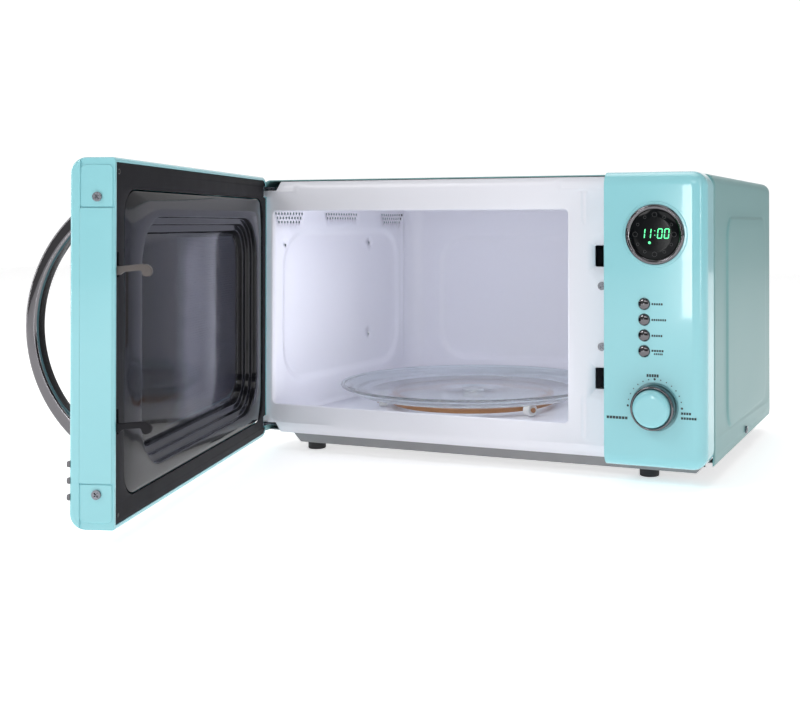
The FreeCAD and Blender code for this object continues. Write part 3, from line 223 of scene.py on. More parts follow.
def settle(name, mesh, body, slot, material=None, replaces=(), angle=35):
    """Object for a raw mesh: merged points, place, shading, body and the material of its slot."""
    bm = bmesh.new()
    bm.from_mesh(mesh)
    bmesh.ops.remove_doubles(bm, verts=bm.verts, dist=1e-6)
    bmesh.ops.recalc_face_normals(bm, faces=bm.faces)
    bm.to_mesh(mesh)
    bm.free()
    if body in SWUNG_BODIES:
        mesh.transform(SWING)
    mesh.polygons.foreach_set("use_smooth", [True] * len(mesh.polygons))
    mesh.set_sharp_from_angle(angle=math.radians(angle))
    mesh.materials.clear()
    mesh.materials.append(material or MATERIALS[slot])
    obj = bpy.data.objects.new(name, mesh)
    SCENE.objects.link(obj)
    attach(obj, body)
    if replaces:
        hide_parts(*replaces)
    return obj


def thicken(obj, amount, offset=-1):
    """Give a sheet its thickness, in millimetres."""
    modifier = obj.modifiers.new("thickness", "SOLIDIFY")
    modifier.thickness = amount * MM
    modifier.offset = offset
    modifier.use_even_offset = True


def round_edges(obj, width):
    """Geometric rounding of the sharp edges."""
    modifier = obj.modifiers.new("rounding", "BEVEL")
    modifier.width = width * MM
    modifier.segments = 3
    modifier.limit_method = "ANGLE"
    modifier.angle_limit = math.radians(40)
    modifier.use_clamp_overlap = False

def grown(shape, grow):
    """Rounded rectangle made larger all round."""
    x0, z0, x1, z1, r = shape
    return (x0 - grow, z0 - grow, x1 + grow, z1 + grow, max(0.01, r + grow))


def divided(points, step):
    """Closed outline with extra points along its longer sides."""
    result = []
    for (px, pz), (qx, qz) in zip(points, points[1:] + points[:1]):
        count = max(1, int(math.hypot(qx - px, qz - pz) / step))
        result += [(px + (qx - px) * k / count, pz + (qz - pz) * k / count) for k in range(count)]
    return result


def loop(shape, steps=8, straight=None):
    """Points round a rounded rectangle, with the straight sides divided if asked."""
    x0, z0, x1, z1, r = shape
    corners = ((x1 - r, z0 + r, -90), (x1 - r, z1 - r, 0), (x0 + r, z1 - r, 90), (x0 + r, z0 + r, 180))
    points = []
    for cx, cz, start in corners:
        for i in range(steps + 1):
            a = math.radians(start + 90 * i / steps)
            points.append((cx + r * math.cos(a), cz + r * math.sin(a)))
    return divided(points, straight) if straight else points


def circle(cx, cz, r, count=14):
    """Points round a circle."""
    turn = 2 * math.pi / count
    return [(cx + r * math.cos(i * turn), cz + r * math.sin(i * turn)) for i in range(count)]

def line(start, end, count):
    """Evenly spaced points between two ends."""
    (x0, z0), (x1, z1) = start, end
    return [(x0 + (x1 - x0) * k / count, z0 + (z1 - z0) * k / count) for k in range(count + 1)]


def band(first, second, count):
    """Faces between two rings of points, given where each ring starts."""
    return [(first + i, first + (i + 1) % count, second + (i + 1) % count, second + i)
            for i in range(count)]

def depth_in(x, z, shape):
    """How far a point lies inside a rounded rectangle; negative outside."""
    x0, z0, x1, z1, r = shape
    qx = abs(x - (x0 + x1) / 2) - (x1 - x0) / 2 + r
    qz = abs(z - (z0 + z1) / 2) - (z1 - z0) / 2 + r
    return r - math.hypot(max(qx, 0), max(qz, 0)) - min(max(qx, qz), 0)


def ease(t):
    """Smooth step from 0 to 1."""
    t = min(1.0, max(0.0, t))
    return t * t * (3 - 2 * t)


def pressing(x, z, shape, height, width):
    """Height of a pressed panel with sloped sides, centred on its outline."""
    return height * ease((depth_in(x, z, shape) + width / 2) / width)


def ridge(x, z, start, end, height, width):
    """Height of a straight pressed rib between two points."""
    dx, dz = end[0] - start[0], end[1] - start[1]
    t = min(1, max(0, ((x - start[0]) * dx + (z - start[1]) * dz) / (dx * dx + dz * dz)))
    away = math.hypot(x - start[0] - t * dx, z - start[1] - t * dz)
    return height * ease(1 - away / width)


def inside(xs, zs, polygon):
    """Which of many points lie inside a polygon."""
    result = np.zeros(len(xs), bool)
    p = np.array(polygon, float)
    q = np.roll(p, -1, 0)
    for (x1, z1), (x2, z2) in zip(p, q):
        if z1 == z2:
            continue
        result ^= ((z1 > zs) != (z2 > zs)) & (xs < (x2 - x1) * (zs - z1) / (z2 - z1) + x1)
    return result


def sheet_mesh(outer, holes, guides, spacing, place):
    """Triangulated sheet with holes: flat points are laid out and then put in place."""
    points, edges = [], []
    for ring in [outer, *holes, *guides]:
        first = len(points)
        points += ring
        edges += [(first + i, first + (i + 1) % len(ring)) for i in range(len(ring))]

    def cell(x, z):
        return round(x / spacing * 2), round(z / spacing * 2)

    taken = {cell(x, z) for x, z in points}
    flat = np.array(points)
    x0, z0 = flat.min(0)
    x1, z1 = flat.max(0)
    columns = max(2, int((x1 - x0) / spacing))
    rows = max(2, int((z1 - z0) / spacing))
    for i in range(1, columns):
        for k in range(1, rows):
            x, z = x0 + (x1 - x0) * i / columns, z0 + (z1 - z0) * k / rows
            u, v = cell(x, z)
            if not any((u + a, v + b) in taken for a in (-1, 0, 1) for b in (-1, 0, 1)):
                points.append((x, z))
    verts, _, faces, *_ = geometry.delaunay_2d_cdt([Vector(p) for p in points], edges, [], 0, 1e-4)
    centres = np.array([np.mean([verts[i] for i in f], 0) for f in faces])
    keep = inside(centres[:, 0], centres[:, 1], outer)
    for hole in holes:
        h = np.array(hole)
        close = (centres > h.min(0) - 1).all(1) & (centres < h.max(0) + 1).all(1) & keep
        index = np.nonzero(close)[0]
        if len(index):
            keep[index[inside(centres[index, 0], centres[index, 1], hole)]] = False
    return [place(v[0], v[1]) for v in verts], [f for f, k in zip(faces, keep) if k]


def used_only(points, faces):
    """Drop points that no face uses."""
    used = sorted({i for f in faces for i in f})
    index = {old: new for new, old in enumerate(used)}
    return [points[i] for i in used], [[index[i] for i in f] for f in faces]


def pressed(name, outer, holes, guides, spacing, place, *rest, **named):
    """Sheet-metal piece with holes and pressings."""
    points, faces = used_only(*sheet_mesh(outer, holes, guides, spacing, place))
    return piece(name, points, faces, *rest, **named)


def flat_plate(name, outer, holes, front, back, bevel, *rest, **named):
    """Flat plate in the x-z plane with holes and rounded edges."""
    curve = bpy.data.curves.new(name, "CURVE")
    curve.dimensions = "2D"
    curve.fill_mode = "BOTH"
    curve.extrude = ((back - front) / 2 - bevel) * MM
    curve.bevel_depth = bevel * MM
    curve.bevel_resolution = 2
    curve.offset = -bevel * MM
    for ring in [outer, *holes]:
        spline = curve.splines.new("POLY")
        spline.points.add(len(ring) - 1)
        for point, (x, z) in zip(spline.points, ring):
            point.co = (x * MM, z * MM, 0, 1)
        spline.use_cyclic_u = True
    holder = bpy.data.objects.new(name + "_curve", curve)
    SCENE.objects.link(holder)
    bpy.context.view_layer.update()
    evaluated = holder.evaluated_get(bpy.context.evaluated_depsgraph_get())
    mesh = bpy.data.meshes.new_from_object(evaluated)
    bpy.data.objects.remove(holder)
    middle = (front + back) / 2 * MM
    mesh.transform(Matrix.Translation((0, middle, 0)) @ Matrix.Rotation(math.pi / 2, 4, "X"))
    return settle(name, mesh, *rest, **named)


def loft(name, rings, *rest, capped=False, **named):
    """Skin over rings of equal length."""
    count = len(rings[0])
    points = [p for ring in rings for p in ring]
    last = len(points) - count
    faces = [f for start in range(0, last, count) for f in band(start, start + count, count)]
    if capped:
        faces += [tuple(range(count)), tuple(range(last, last + count))]
    return piece(name, points, faces, *rest, **named)


def turned(name, profile, centre, axis, count, *rest, **named):
    """Turned piece: (radius, height) pairs about a Z or Y axis."""
    cx, cy, cz = centre
    points, faces = [], []
    for r, h in profile:
        if axis == "Z":
            points += [(x, y, cz + h) for x, y in circle(cx, cy, r, count)]
        else:
            points += [(x, cy + h, z) for x, z in circle(cx, cz, r, count)]
    last = len(points) - count
    for start in range(0, last, count):
        faces += band(start, start + count, count)
    for start, (r, _) in ((0, profile[0]), (last, profile[-1])):
        if r > 0.001:
            faces.append(tuple(range(start, start + count)))
    return piece(name, points, faces, *rest, **named)


def rounded(points, radius, steps=4):
    """Open profile with its inner corners rounded."""
    result = [points[0]]
    for before, here, after in zip(points, points[1:], points[2:]):
        b, h, a = Vector(before), Vector(here), Vector(after)
        reach = min(radius, (b - h).length * 0.45, (a - h).length * 0.45)
        start, end = h + (b - h).normalized() * reach, h + (a - h).normalized() * reach
        for i in range(steps + 1):
            t = i / steps
            result.append(tuple(start * (1 - t) ** 2 + h * 2 * t * (1 - t) + end * t * t))
    result.append(points[-1])
    return result


def rounded_loop(points, radius):
    """Closed outline with its corners rounded."""
    return rounded([points[-1], *points, points[0]], radius)[1:-1]


def prism_faces(count):
    """Faces of a prism over two rings."""
    return [tuple(range(count)), tuple(range(2 * count - 1, count - 1, -1)), *band(0, count, count)]


def prism(ring, y0, y1):
    """Vertices and faces of a solid over an outline in the x-z plane."""
    return [(x, y, z) for y in (y0, y1) for x, z in ring], prism_faces(len(ring))


def slab(name, ring, x0, x1, width, *rest, **named):
    """Flat piece in the y-z plane with rounded edges."""
    points = [(x, y, z) for x in (x0, x1) for y, z in ring]
    round_edges(piece(name, points, prism_faces(len(ring)), *rest, **named), width)


# ------------------------------------------------------------ cabinet

CABINET_HALF = 220.0
FOLD_RADIUS = 9.5
wrap_low, wrap_high = span("cabinet_wrap")
plate_low, plate_high = span("front_plate")
FRONT, BACK = wrap_low.y, wrap_high.y
EMBOSS = wrap_high.x - CABINET_HALF
HALF = wrap_high.x - EMBOSS
TOP = wrap_high.z - EMBOSS
BASE = wrap_low.z
WALL = TOP - BASE - FOLD_RADIUS
ARC = FOLD_RADIUS * math.pi / 2
FLAT = 2 * (HALF - FOLD_RADIUS)
GIRTH = 2 * WALL + 2 * ARC + FLAT


def wrap_frame(s):
    """Point and outward direction at a distance along the folded cross-section, from the left foot."""
    if s > GIRTH / 2:
        p, n = wrap_frame(GIRTH - s)
        return (-p[0], p[1]), (-n[0], n[1])
    if s < WALL:
        return (-HALF, BASE + s), (-1, 0)
    if s < WALL + ARC:
        a, r = (s - WALL) / FOLD_RADIUS, FOLD_RADIUS
        n = (-math.cos(a), math.sin(a))
        return (-HALF + r + r * n[0], TOP - r + r * n[1]), n
    return (-HALF + FOLD_RADIUS + s - WALL - ARC, TOP), (0, 1)


SIDE_PANEL = (22, FRONT + 54, 206, BACK - 30, 20)
TOP_PANEL = (GIRTH / 2 - 150, FRONT + 45, GIRTH / 2 + 150, BACK - 30, 20)
FAR_PANEL = (GIRTH - 206, FRONT + 54, GIRTH - 22, BACK - 30, 20)
PANELS = (SIDE_PANEL, TOP_PANEL, FAR_PANEL)
PANEL_SLOPE = 3.2
CREASE = ((21, -120), (14, 137))
FAR_CREASE = ((GIRTH - 21, -120), (GIRTH - 14, 137))
HEM = 6
SIDE_VENT_START, SIDE_VENT_STEP, SIDE_VENT_SIZE = (175, 36), (26, 8), (20, 3)


def wrap_place(s, y):
    """Where a point of the unfolded wrap goes, pressings included."""
    (x, z), (nx, nz) = wrap_frame(s)
    rise = sum(pressing(s, y, panel, EMBOSS, PANEL_SLOPE) for panel in PANELS)
    rise += sum(ridge(s, y, *ends, 0.5, 2.2) for ends in (FAR_CREASE, CREASE))
    rise -= 0.35 * ease(max(0.0, HEM - min(s, GIRTH - s)) / HEM * 1.4)
    rise = min(rise, EMBOSS)
    return (x + nx * rise, y, z + nz * rise)


def build_wrap():
    """Top and sides with pressed panels, rounded folds and side vents."""
    slots = []
    for row in range(8):
        for column in range(3):
            y = FRONT + SIDE_VENT_START[0] + column * SIDE_VENT_STEP[0]
            z = SIDE_VENT_START[1] + row * SIDE_VENT_STEP[1]
            slots.append(loop((z, y, z + SIDE_VENT_SIZE[1], y + SIDE_VENT_SIZE[0], 1.4), 3))
    guides = [loop(grown(panel, grow), 7, 7) for panel in PANELS for grow in (-1.8, -0.9, 0, 0.9, 1.8)]
    (s0, y0), (s1, y1) = FAR_CREASE
    guides += [line((s0 + away, y0), (s1 + away, y1), 30) for away in (-2.2, -1.1, 0, 1.1, 2.2)]
    for start in (WALL, GIRTH - WALL - ARC):
        for i in range(9):
            s = start + ARC * i / 8
            guides.append(line((s, FRONT), (s, BACK), 40))
    outer = loop((0, FRONT, GIRTH, BACK, 0.4), 1, 6)
    wrap = pressed("cabinet_shell", outer, slots, guides, 7.5, wrap_place, "cabinet", "aqua_enamel",
                   replaces=["cabinet_wrap"], angle=50)
    thicken(wrap, 1.0)


OPENING_LEFT, OPENING_RIGHT = -207.3, 92.5
OPENING = (OPENING_LEFT, BASE + 27.8, OPENING_RIGHT, BASE + 213.3, 4)
HOOK_SLOT_LEFT, HOOK_SLOT_RIGHT, HOOK_SLOT_HEIGHT = 117.5, 133, 18.4
HOOK_LEVELS = (59, 164)
RIBS = (
    ((-205, TOP - 11.0), (-186, TOP - 11.0)),
    ((88, TOP - 11.5), (131, TOP - 11.5)),
    ((-196, BASE + 10.5), (-150, BASE + 10.5)),
    ((60, BASE + 10.5), (131, BASE + 10.5)),
)
UPRIGHTS = (
    ((104.5, TOP - 39), (104.5, TOP - 14)),
    ((109.5, TOP - 39), (109.5, TOP - 14)),
    ((104.5, BASE + 18), (104.5, BASE + 50)),
    ((109.5, BASE + 18), (109.5, BASE + 50)),
)
DIMPLES = ((-181, TOP - 11.0), (83, TOP - 11.5))
ROLLED_EDGE = 1.6


def front_place(x, z):
    """Front plate with pressed ribs and a rolled edge round the opening."""
    out = sum(ridge(x, z, a, b, 0.8, 1.9) for a, b in RIBS)
    out += sum(ridge(x, z, a, b, 0.7, 1.7) for a, b in UPRIGHTS)
    out += sum(0.8 * ease(1 - math.hypot(x - cx, z - cz) / 4.2) for cx, cz in DIMPLES)
    gap = -depth_in(x, z, OPENING)
    back, roll = 0, ROLLED_EDGE
    if gap < roll:
        back = roll - math.sqrt(max(0.0, roll * roll - (roll - gap) ** 2))
    return (x, FRONT + back - min(out, 0.8) * 0.9, z)


def build_front_plate():
    """White plate round the opening, with hook slots and hinge notches."""
    x0, x1, z0, z1 = plate_low.x, plate_high.x, plate_low.z, plate_high.z
    depth = 8.5
    outer = [(x0, z0 + depth), (x0 + 15, z0 + depth), (x0 + 20.5, z0), (x1 - 6, z0), (x1, z0 + 6),
             (x1, z1 - 8), (x1 - 3, z1 - 2.5), (x1 - 8, z1), (x0 + 20.5, z1), (x0 + 15, z1 - depth),
             (x0, z1 - depth)]
    holes = [loop(OPENING, 6, 6)]
    for level in HOOK_LEVELS:
        low = BASE + level
        holes.append(loop((HOOK_SLOT_LEFT, low, HOOK_SLOT_RIGHT, low + HOOK_SLOT_HEIGHT, 1.2), 3))
    guides = [loop(grown(OPENING, g), 6, 6) for g in (0.25, 0.6, 1.0, 1.6)]
    for (ax, az), (bx, bz) in RIBS:
        guides += [line((ax, az + away), (bx, bz + away), 12) for away in (-1.9, -0.95, 0, 0.95, 1.9)]
    for (ax, az), (bx, bz) in UPRIGHTS:
        guides += [line((ax + away, az), (bx + away, bz), 9) for away in (-1.7, -0.85, 0, 0.85, 1.7)]
    guides += [circle(cx, cz, r, 12) for cx, cz in DIMPLES for r in (1.2, 2.6, 4.1)]
    plate = pressed("cavity_front", divided(outer, 6), holes, guides, 9, front_place, "cabinet",
                    "white_enamel", replaces=["front_plate"], angle=50)
    thicken(plate, 0.9)


CAVITY_FLOOR = BASE + 15
CAVITY_TOP = BASE + 219
CAVITY_DEPTH = 280
TAPER = 9.8
CORNER = 20
BOWL = 5.0
VENT_GROUPS = ((4, (10, 9, 8)), (94, (13, 12)), (210, (10, 9, 8)))
CLIP_HOLES = ((20, 165), (186, 165), (20, 64), (185, 64))


class Outline:
    """Inner outline of the cavity seen from above: left wall, back, right wall."""

    def __init__(self):
        front, back = FRONT + 1, FRONT + CAVITY_DEPTH
        raw = [Vector((OPENING_LEFT, front)), Vector((OPENING_LEFT + TAPER, back)),
               Vector((OPENING_RIGHT - TAPER, back)), Vector((OPENING_RIGHT, front))]
        self.parts = []
        start = raw[0]
        for before, here, after in zip(raw, raw[1:], raw[2:]):
            u, v = (before - here).normalized(), (after - here).normalized()
            reach = CORNER / math.tan(u.angle(v) / 2)
            a, b = here + u * reach, here + v * reach
            centre = here + (u + v).normalized() * (CORNER / math.sin(u.angle(v) / 2))
            self.parts += [(start, a, None), (a, b, centre)]
            start = b
        self.parts.append((start, raw[3], None))
        self.lengths = [(b - a).length if centre is None else CORNER * (a - centre).angle(b - centre)
                        for a, b, centre in self.parts]
        self.total = sum(self.lengths)

    def at(self, s):
        """Point and inward direction at a distance along the outline."""
        for part, length in zip(self.parts, self.lengths):
            if s <= length or part is self.parts[-1]:
                break
            s -= length
        start, end, centre = part
        if centre is None:
            way = (end - start).normalized()
            return start + way * s, Vector((way.y, -way.x))
        arm = start - centre
        c, n = math.cos(-s / CORNER), math.sin(-s / CORNER)
        spoke = Vector((arm.x * c - arm.y * n, arm.x * n + arm.y * c))
        return centre + spoke, -spoke.normalized()


OUTLINE = Outline()
LEFT_END, BACK_CORNER = OUTLINE.lengths[:2]
BACK_START = LEFT_END + BACK_CORNER
BACK_END = BACK_START + OUTLINE.lengths[2]
WALL_HEIGHT = CAVITY_TOP - CAVITY_FLOOR
PRESSES = ((19, 31, 246, 177, 34), (BACK_START + 20, 32, BACK_END - 40, 170, 30),
           (OUTLINE.total - 246, 31, OUTLINE.total - 19, 177, 34))
CORNER_RIB = LEFT_END - 3
TRACK_INNER, TRACK_OUTER, TRACK_SIDE = 80, 104, 6


def cavity_place(s, t):
    """Point of the cavity wall: s along the outline, t up the wall from the floor."""
    low, high = BOWL, WALL_HEIGHT - BOWL
    drop, inset = t, 0.0
    if t < low:
        a = (low - t) / BOWL
        drop, inset = low - BOWL * math.sin(a), BOWL * (1 - math.cos(a))
    elif t > high:
        a = (t - high) / BOWL
        drop, inset = high + BOWL * math.sin(a), BOWL * (1 - math.cos(a))
    out = -sum(pressing(s, t, press, 3.0, 9) for press in PRESSES)
    out += 1.4 * ease(1 - abs(s - CORNER_RIB) / 5.0) * ease((204 - t) / 14) * ease((t - 26) / 14)
    point, inward = OUTLINE.at(min(max(s, 0.0), OUTLINE.total))
    point = point + inward * (inset + out)
    return (point.x, point.y, CAVITY_FLOOR + drop)


def wall_marks():
    """Round holes of the left wall: three groups of vents and four clip holes."""
    holes = []
    for start, rows in VENT_GROUPS:
        for row, count in enumerate(rows):
            for column in range(count):
                s = start + (column + 0.5 * row) * 5.0
                holes.append(circle(s, 196 - row * 4.2, 1.55, 8))
    return holes + [circle(s, t, 1.6, 8) for s, t in CLIP_HOLES]


def build_cavity():
    """White oven space with rounded corners, pressed panels, a rib and round holes."""
    reach = BOWL * math.pi / 2
    low, high = BOWL - reach, WALL_HEIGHT - BOWL + reach
    length = OUTLINE.total
    guides = []
    for grow in (-4.5, -3, -1.5, 0, 1.5, 3, 4.5):
        guides += [loop(grown(press, grow), 10, 5) for press in PRESSES]
    for level in (0.2, 0.4, 0.6, 0.8, 1.0):
        for t in (low + reach * level, high - reach * level):
            guides.append(line((0, t), (length, t), 180))
    for start in (LEFT_END, BACK_END):
        for i in range(11):
            s = start + BACK_CORNER * i / 10
            guides.append(line((s, low), (s, high), 40))
    for away in (-5, -3.3, -1.7, 0, 1.7, 3.3, 5):
        guides.append(line((CORNER_RIB + away, 24), (CORNER_RIB + away, 208), 40))
    outer = loop((0, low, length, high, 0.05), 1, 4)
    walls = pressed("cavity_walls", outer, wall_marks(), guides, 6, cavity_place, "cabinet",
                    "white_enamel", replaces=["cavity_box"], angle=60)
    thicken(walls, 0.8, offset=1)
    edge = [cavity_place(length * k / 180, low)[:2] for k in range(181)]
    hub_x, hub_y = TRAY_AT.x, TRAY_AT.y
    rings = [circle(hub_x, hub_y, r, 72) for r in (80, 83, 86, 98, 101, 104)]

    def floor_place(x, y):
        away = math.hypot(x - hub_x, y - hub_y)
        sunk = ease((away - TRACK_INNER) / TRACK_SIDE) * ease((TRACK_OUTER - away) / TRACK_SIDE)
        return (x, y, CAVITY_FLOOR - 0.5 * sunk)

    floor = pressed("cavity_floor", edge, [circle(hub_x, hub_y, 7.5, 24)], rings, 14, floor_place,
                    "cabinet", "white_enamel", angle=50)
    ceiling = pressed("cavity_ceiling", edge, [], [], 30, lambda x, y: (x, y, CAVITY_TOP),
                      "cabinet", "white_enamel", angle=50)
    for sheet in (floor, ceiling):
        thicken(sheet, 0.8)


tray_low, tray_high = span("glass_tray")
TRAY_AT = (tray_low + tray_high) / 2


def build_tray():
    """Glass tray with a raised lip, a coved side, pressed rings and a hub."""
    r = (tray_high.x - tray_low.x) / 2 - 0.05
    low, high = tray_low.z, tray_high.z
    rise = high - low
    under = [(7.6, 2.2), (7.7, 0.6), (8.6, 0.0), (r - 27, 0.0), (r - 13, 3.0), (r - 3.0, rise - 4.0),
             (r - 0.4, rise - 2.6), (r, rise - 1.3)]
    lip = [(r, rise - 1.3), (r - 0.5, rise - 0.35), (r - 1.6, rise), (r - 2.9, rise - 0.5),
           (r - 4.4, rise - 2.2)]
    over = [(r - 4.4, rise - 2.2), (r - 13.5, 7.4), (r - 19, 5.2), (r - 27, 4.1)]
    profile = [(0, 2.2)] + rounded(under, 5, 5) + rounded(lip, 1.2, 3) + rounded(over, 6, 5)
    profile += [(16, 4.1), (13.5, 4.35), (10, 4.4), (0, 4.4)]
    tray = turned("tray_glass", profile, (TRAY_AT.x, TRAY_AT.y, low), "Z", 160, "turntable",
                  "clear_glass", replaces=["glass_tray"], angle=60)
    tray.visible_shadow = False


WHEEL_PROFILE = rounded([(1.6, -3.2), (3.4, -3.2), (4.0, -4.0), (6, -4.0), (6, 4.0), (4.0, 4.0),
                         (3.4, 3.2), (1.6, 3.2)], 0.9, 3)
WHEEL_SIDES = 48


def build_wheels():
    """Rollers with grooved treads and sunk hubs."""
    for i in (1, 2, 3):
        low, high = span(f"roller_{i}")
        centre = (low + high) / 2
        out = Vector((centre.x - TRAY_AT.x, centre.y - TRAY_AT.y, 0)).normalized()
        side, up = Vector((-out.y, out.x, 0)), Vector((0, 0, 1))
        points, faces = [], []
        for r, h in WHEEL_PROFILE:
            for k in range(WHEEL_SIDES):
                a = 2 * math.pi * k / WHEEL_SIDES
                grip = 0.12 * (1 - math.cos(12 * a)) / 2 if r > 5.9 else 0
                points.append(centre + out * h + (side * math.cos(a) + up * math.sin(a)) * (r - grip))
        for start in range(0, len(points), WHEEL_SIDES):
            faces += band(start, (start + WHEEL_SIDES) % len(points), WHEEL_SIDES)
        piece(f"wheel_{i}", points, faces, f"roller_{i}", "white_plastic", replaces=[f"roller_{i}"],
              angle=50)


# ------------------------------------------------------------ door

frame_low, frame_high = span("door_frame", shut=True)
FACE, DOOR_BACK = frame_low.y, frame_high.y
BEZEL = (-205.5, 31, 116, 240, 18)
SCREEN = (-171.5, 58, 68.5, 206, 20)
WINDOW = (-182, 70, 74, 220, 24)
HOOKS = (75, 180)
HINGE_NOTCH = (5.8, 16.6)
HOLE_PITCH, HOLE_ROWS, HOLE_RADIUS = 2.4, 2.1, 0.72
SCREEN_DEPTH = 17.2


def ring_at(shape, y):
    """Rounded rectangle of points at one depth."""
    return [(x, y, z) for x, z in loop(shape, 12)]


def build_door_inside():
    """Matt rim, glossy stepped frame and clear sheet, seen with the door open."""
    low, high = span("choke_cover", shut=True)
    square = loop((low.x, low.z, high.x, high.z, 3), 5)
    round_left = loop((low.x, low.z, high.x, high.z, 9.6), 5)
    hinge_side = HINGE_AT.x / MM + 8.2
    near, far = HINGE_NOTCH
    outline = []
    for x, z in divided(square[:12] + round_left[12:], 1.0):
        beside_hinge = BASE + near < z < BASE + far or TOP - far < z < TOP - near
        outline.append((max(x, hinge_side) if beside_hinge else x, z))
    slots = [loop((125.6, z + 1, 130.0, z + 18, 0.6), 2) for z in HOOKS]
    flat_plate("door_rim", outline, [loop(grown(BEZEL, 0.9), 12)] + slots, low.y + 0.2, high.y, 0.3,
               "door", "black_plastic", replaces=["choke_cover"])
    d = DOOR_BACK
    steps = [(0.0, 4.0), (0.0, 1.5), (-0.35, 0.85), (-1.0, 0.6)]
    rings = [ring_at(grown(BEZEL, g), d - depth) for g, depth in steps]
    ladder = rounded([(22, 0.6), (16, 0.6), (15.6, 5.4), (10.4, 5.8), (10, 9.8), (4.4, 10.2), (4, 15.6),
                      (-0.5, 16.2)], 1.1, 4)
    rings += [ring_at(grown(SCREEN, g), d - depth) for g, depth in ladder]
    rings += [ring_at(grown(SCREEN, -0.5), d - SCREEN_DEPTH)]
    bezel = loft("door_bezel", rings, "door", "black_enamel", replaces=["door_plate"], angle=40)
    thicken(bezel, 0.8)
    flat_plate("door_inner_pane", loop(grown(SCREEN, 3.4), 12), [], d - 15.8, d - 15.0, 0.15, "door",
               "clear_sheet", replaces=["inner_window"])


def build_screen():
    """Perforated sheet with its holes cut through, in staggered rows, and its plain border."""
    area = grown(SCREEN, 1.5)
    x0, z0, x1, z1, _ = area
    y = DOOR_BACK - SCREEN_DEPTH
    w, h = HOLE_PITCH / 2, HOLE_ROWS / 2
    rim_way = ((1, -1), (1, 1), (0, 1), (-1, 1), (-1, -1), (0, -1))
    cut_way = (-0.75, 0.75, math.pi / 2, math.pi - 0.75, math.pi + 0.75, -math.pi / 2)
    points, faces, index = [], [], {}

    def at(x, z):
        key = (round(x * 50), round(z * 50))
        if key not in index:
            index[key] = len(points)
            points.append((x, y, z))
        return index[key]

    for row in range(int((z1 - z0) / HOLE_ROWS)):
        shift = w * (row % 2)
        cz = z0 + row * HOLE_ROWS + h
        for column in range(int((x1 - x0 - shift) / HOLE_PITCH)):
            cx = x0 + shift + column * HOLE_PITCH + w
            if depth_in(cx, cz, area) < 1.6:
                continue
            rim = [at(cx + a * w, cz + b * h) for a, b in rim_way]
            cut = [at(cx + HOLE_RADIUS * math.cos(t), cz + HOLE_RADIUS * math.sin(t)) for t in cut_way]
            for i in range(6):
                k = (i + 1) % 6
                faces.append((rim[i], rim[k], cut[k], cut[i]))
    piece("perforated_window", points, faces, "door", "perforated_steel", replaces=["door_screen"])
    flat_plate("perforated_window_border", loop(grown(SCREEN, 7), 12), [loop(grown(SCREEN, -0.4), 12)],
               y - 0.25, y + 0.05, 0.05, "door", "perforated_steel")


def build_window():
    """Outer pane and the bright ring round it."""
    glass_low, glass_high = span("door_glass", shut=True)
    flat_plate("door_outer_pane", loop(grown(WINDOW, 8.8), 12), [], glass_low.y, glass_high.y, 0.3,
               "door", "dark_glass", replaces=["door_glass"])
    trim = rounded([(-1.4, -1.9), (-1.4, 0.6), (0.2, 1.2), (3.2, 1.15), (4.9, 0.5), (5.0, -0.05)], 0.7, 4)
    rings = [ring_at(grown(WINDOW, g), FACE - h) for g, h in trim]
    ring = loft("window_ring", rings, "door", "chrome", replaces=["window_trim"], angle=60)
    thicken(ring, 0.4)


def build_handle():
    """Chromed bow: a thick crescent with rounded outer corners and flared feet."""
    low, high = span("handle", shut=True)
    middle, half_x = (low.z + high.z) / 2, (high.x - low.x) / 2
    centre_x = (low.x + high.x) / 2
    outer_half, outer_rise = (high.z - low.z) / 2, FACE - low.y
    inner_half, inner_rise = 69.0, 31.5

    def arc(half, rise, t):
        radius = (half * half + rise * rise) / (2 * rise)
        sweep = math.asin(half / radius)
        a = -sweep + 2 * sweep * t
        return Vector((0, FACE + radius - rise - radius * math.cos(a), middle + radius * math.sin(a)))

    rings = []
    count = 72
    for i in range(count + 1):
        t = i / count
        out, back = arc(outer_half, outer_rise, t), arc(inner_half, inner_rise, t)
        across = back - out
        thick = across.length
        across.normalize()
        r_out, r_in = min(3.6, thick * 0.45), min(2.4, thick * 0.3)
        corners = ((half_x - r_out, r_out, r_out, 0), (-half_x + r_out, r_out, r_out, 90),
                   (-half_x + r_in, thick - r_in, r_in, 180), (half_x - r_in, thick - r_in, r_in, 270))
        ring = []
        for cu, cv, r, start in corners:
            for k in range(7):
                a = math.radians(start + 90 * k / 6)
                p = out + across * (cv - r * math.sin(a))
                ring.append((centre_x + cu + r * math.cos(a), min(p.y, FACE), p.z))
        rings.append(ring)
    loft("bow_handle", rings, "door", "chrome", replaces=["handle"], capped=True, angle=50)
    seat = rounded([(6.2, 0.0), (6.2, -0.5), (4.5, -0.6)], 0.3)
    for end, z in (("low", middle - outer_half + 7), ("high", middle + outer_half - 7)):
        turned(f"handle_seat_{end}", seat, (centre_x, FACE - 0.02, z), "Y", 40, "door", "chrome")


RIM_MARK_X, RIM_MARK_Z, RIM_HOLE_Z = 125.5, 252, 22


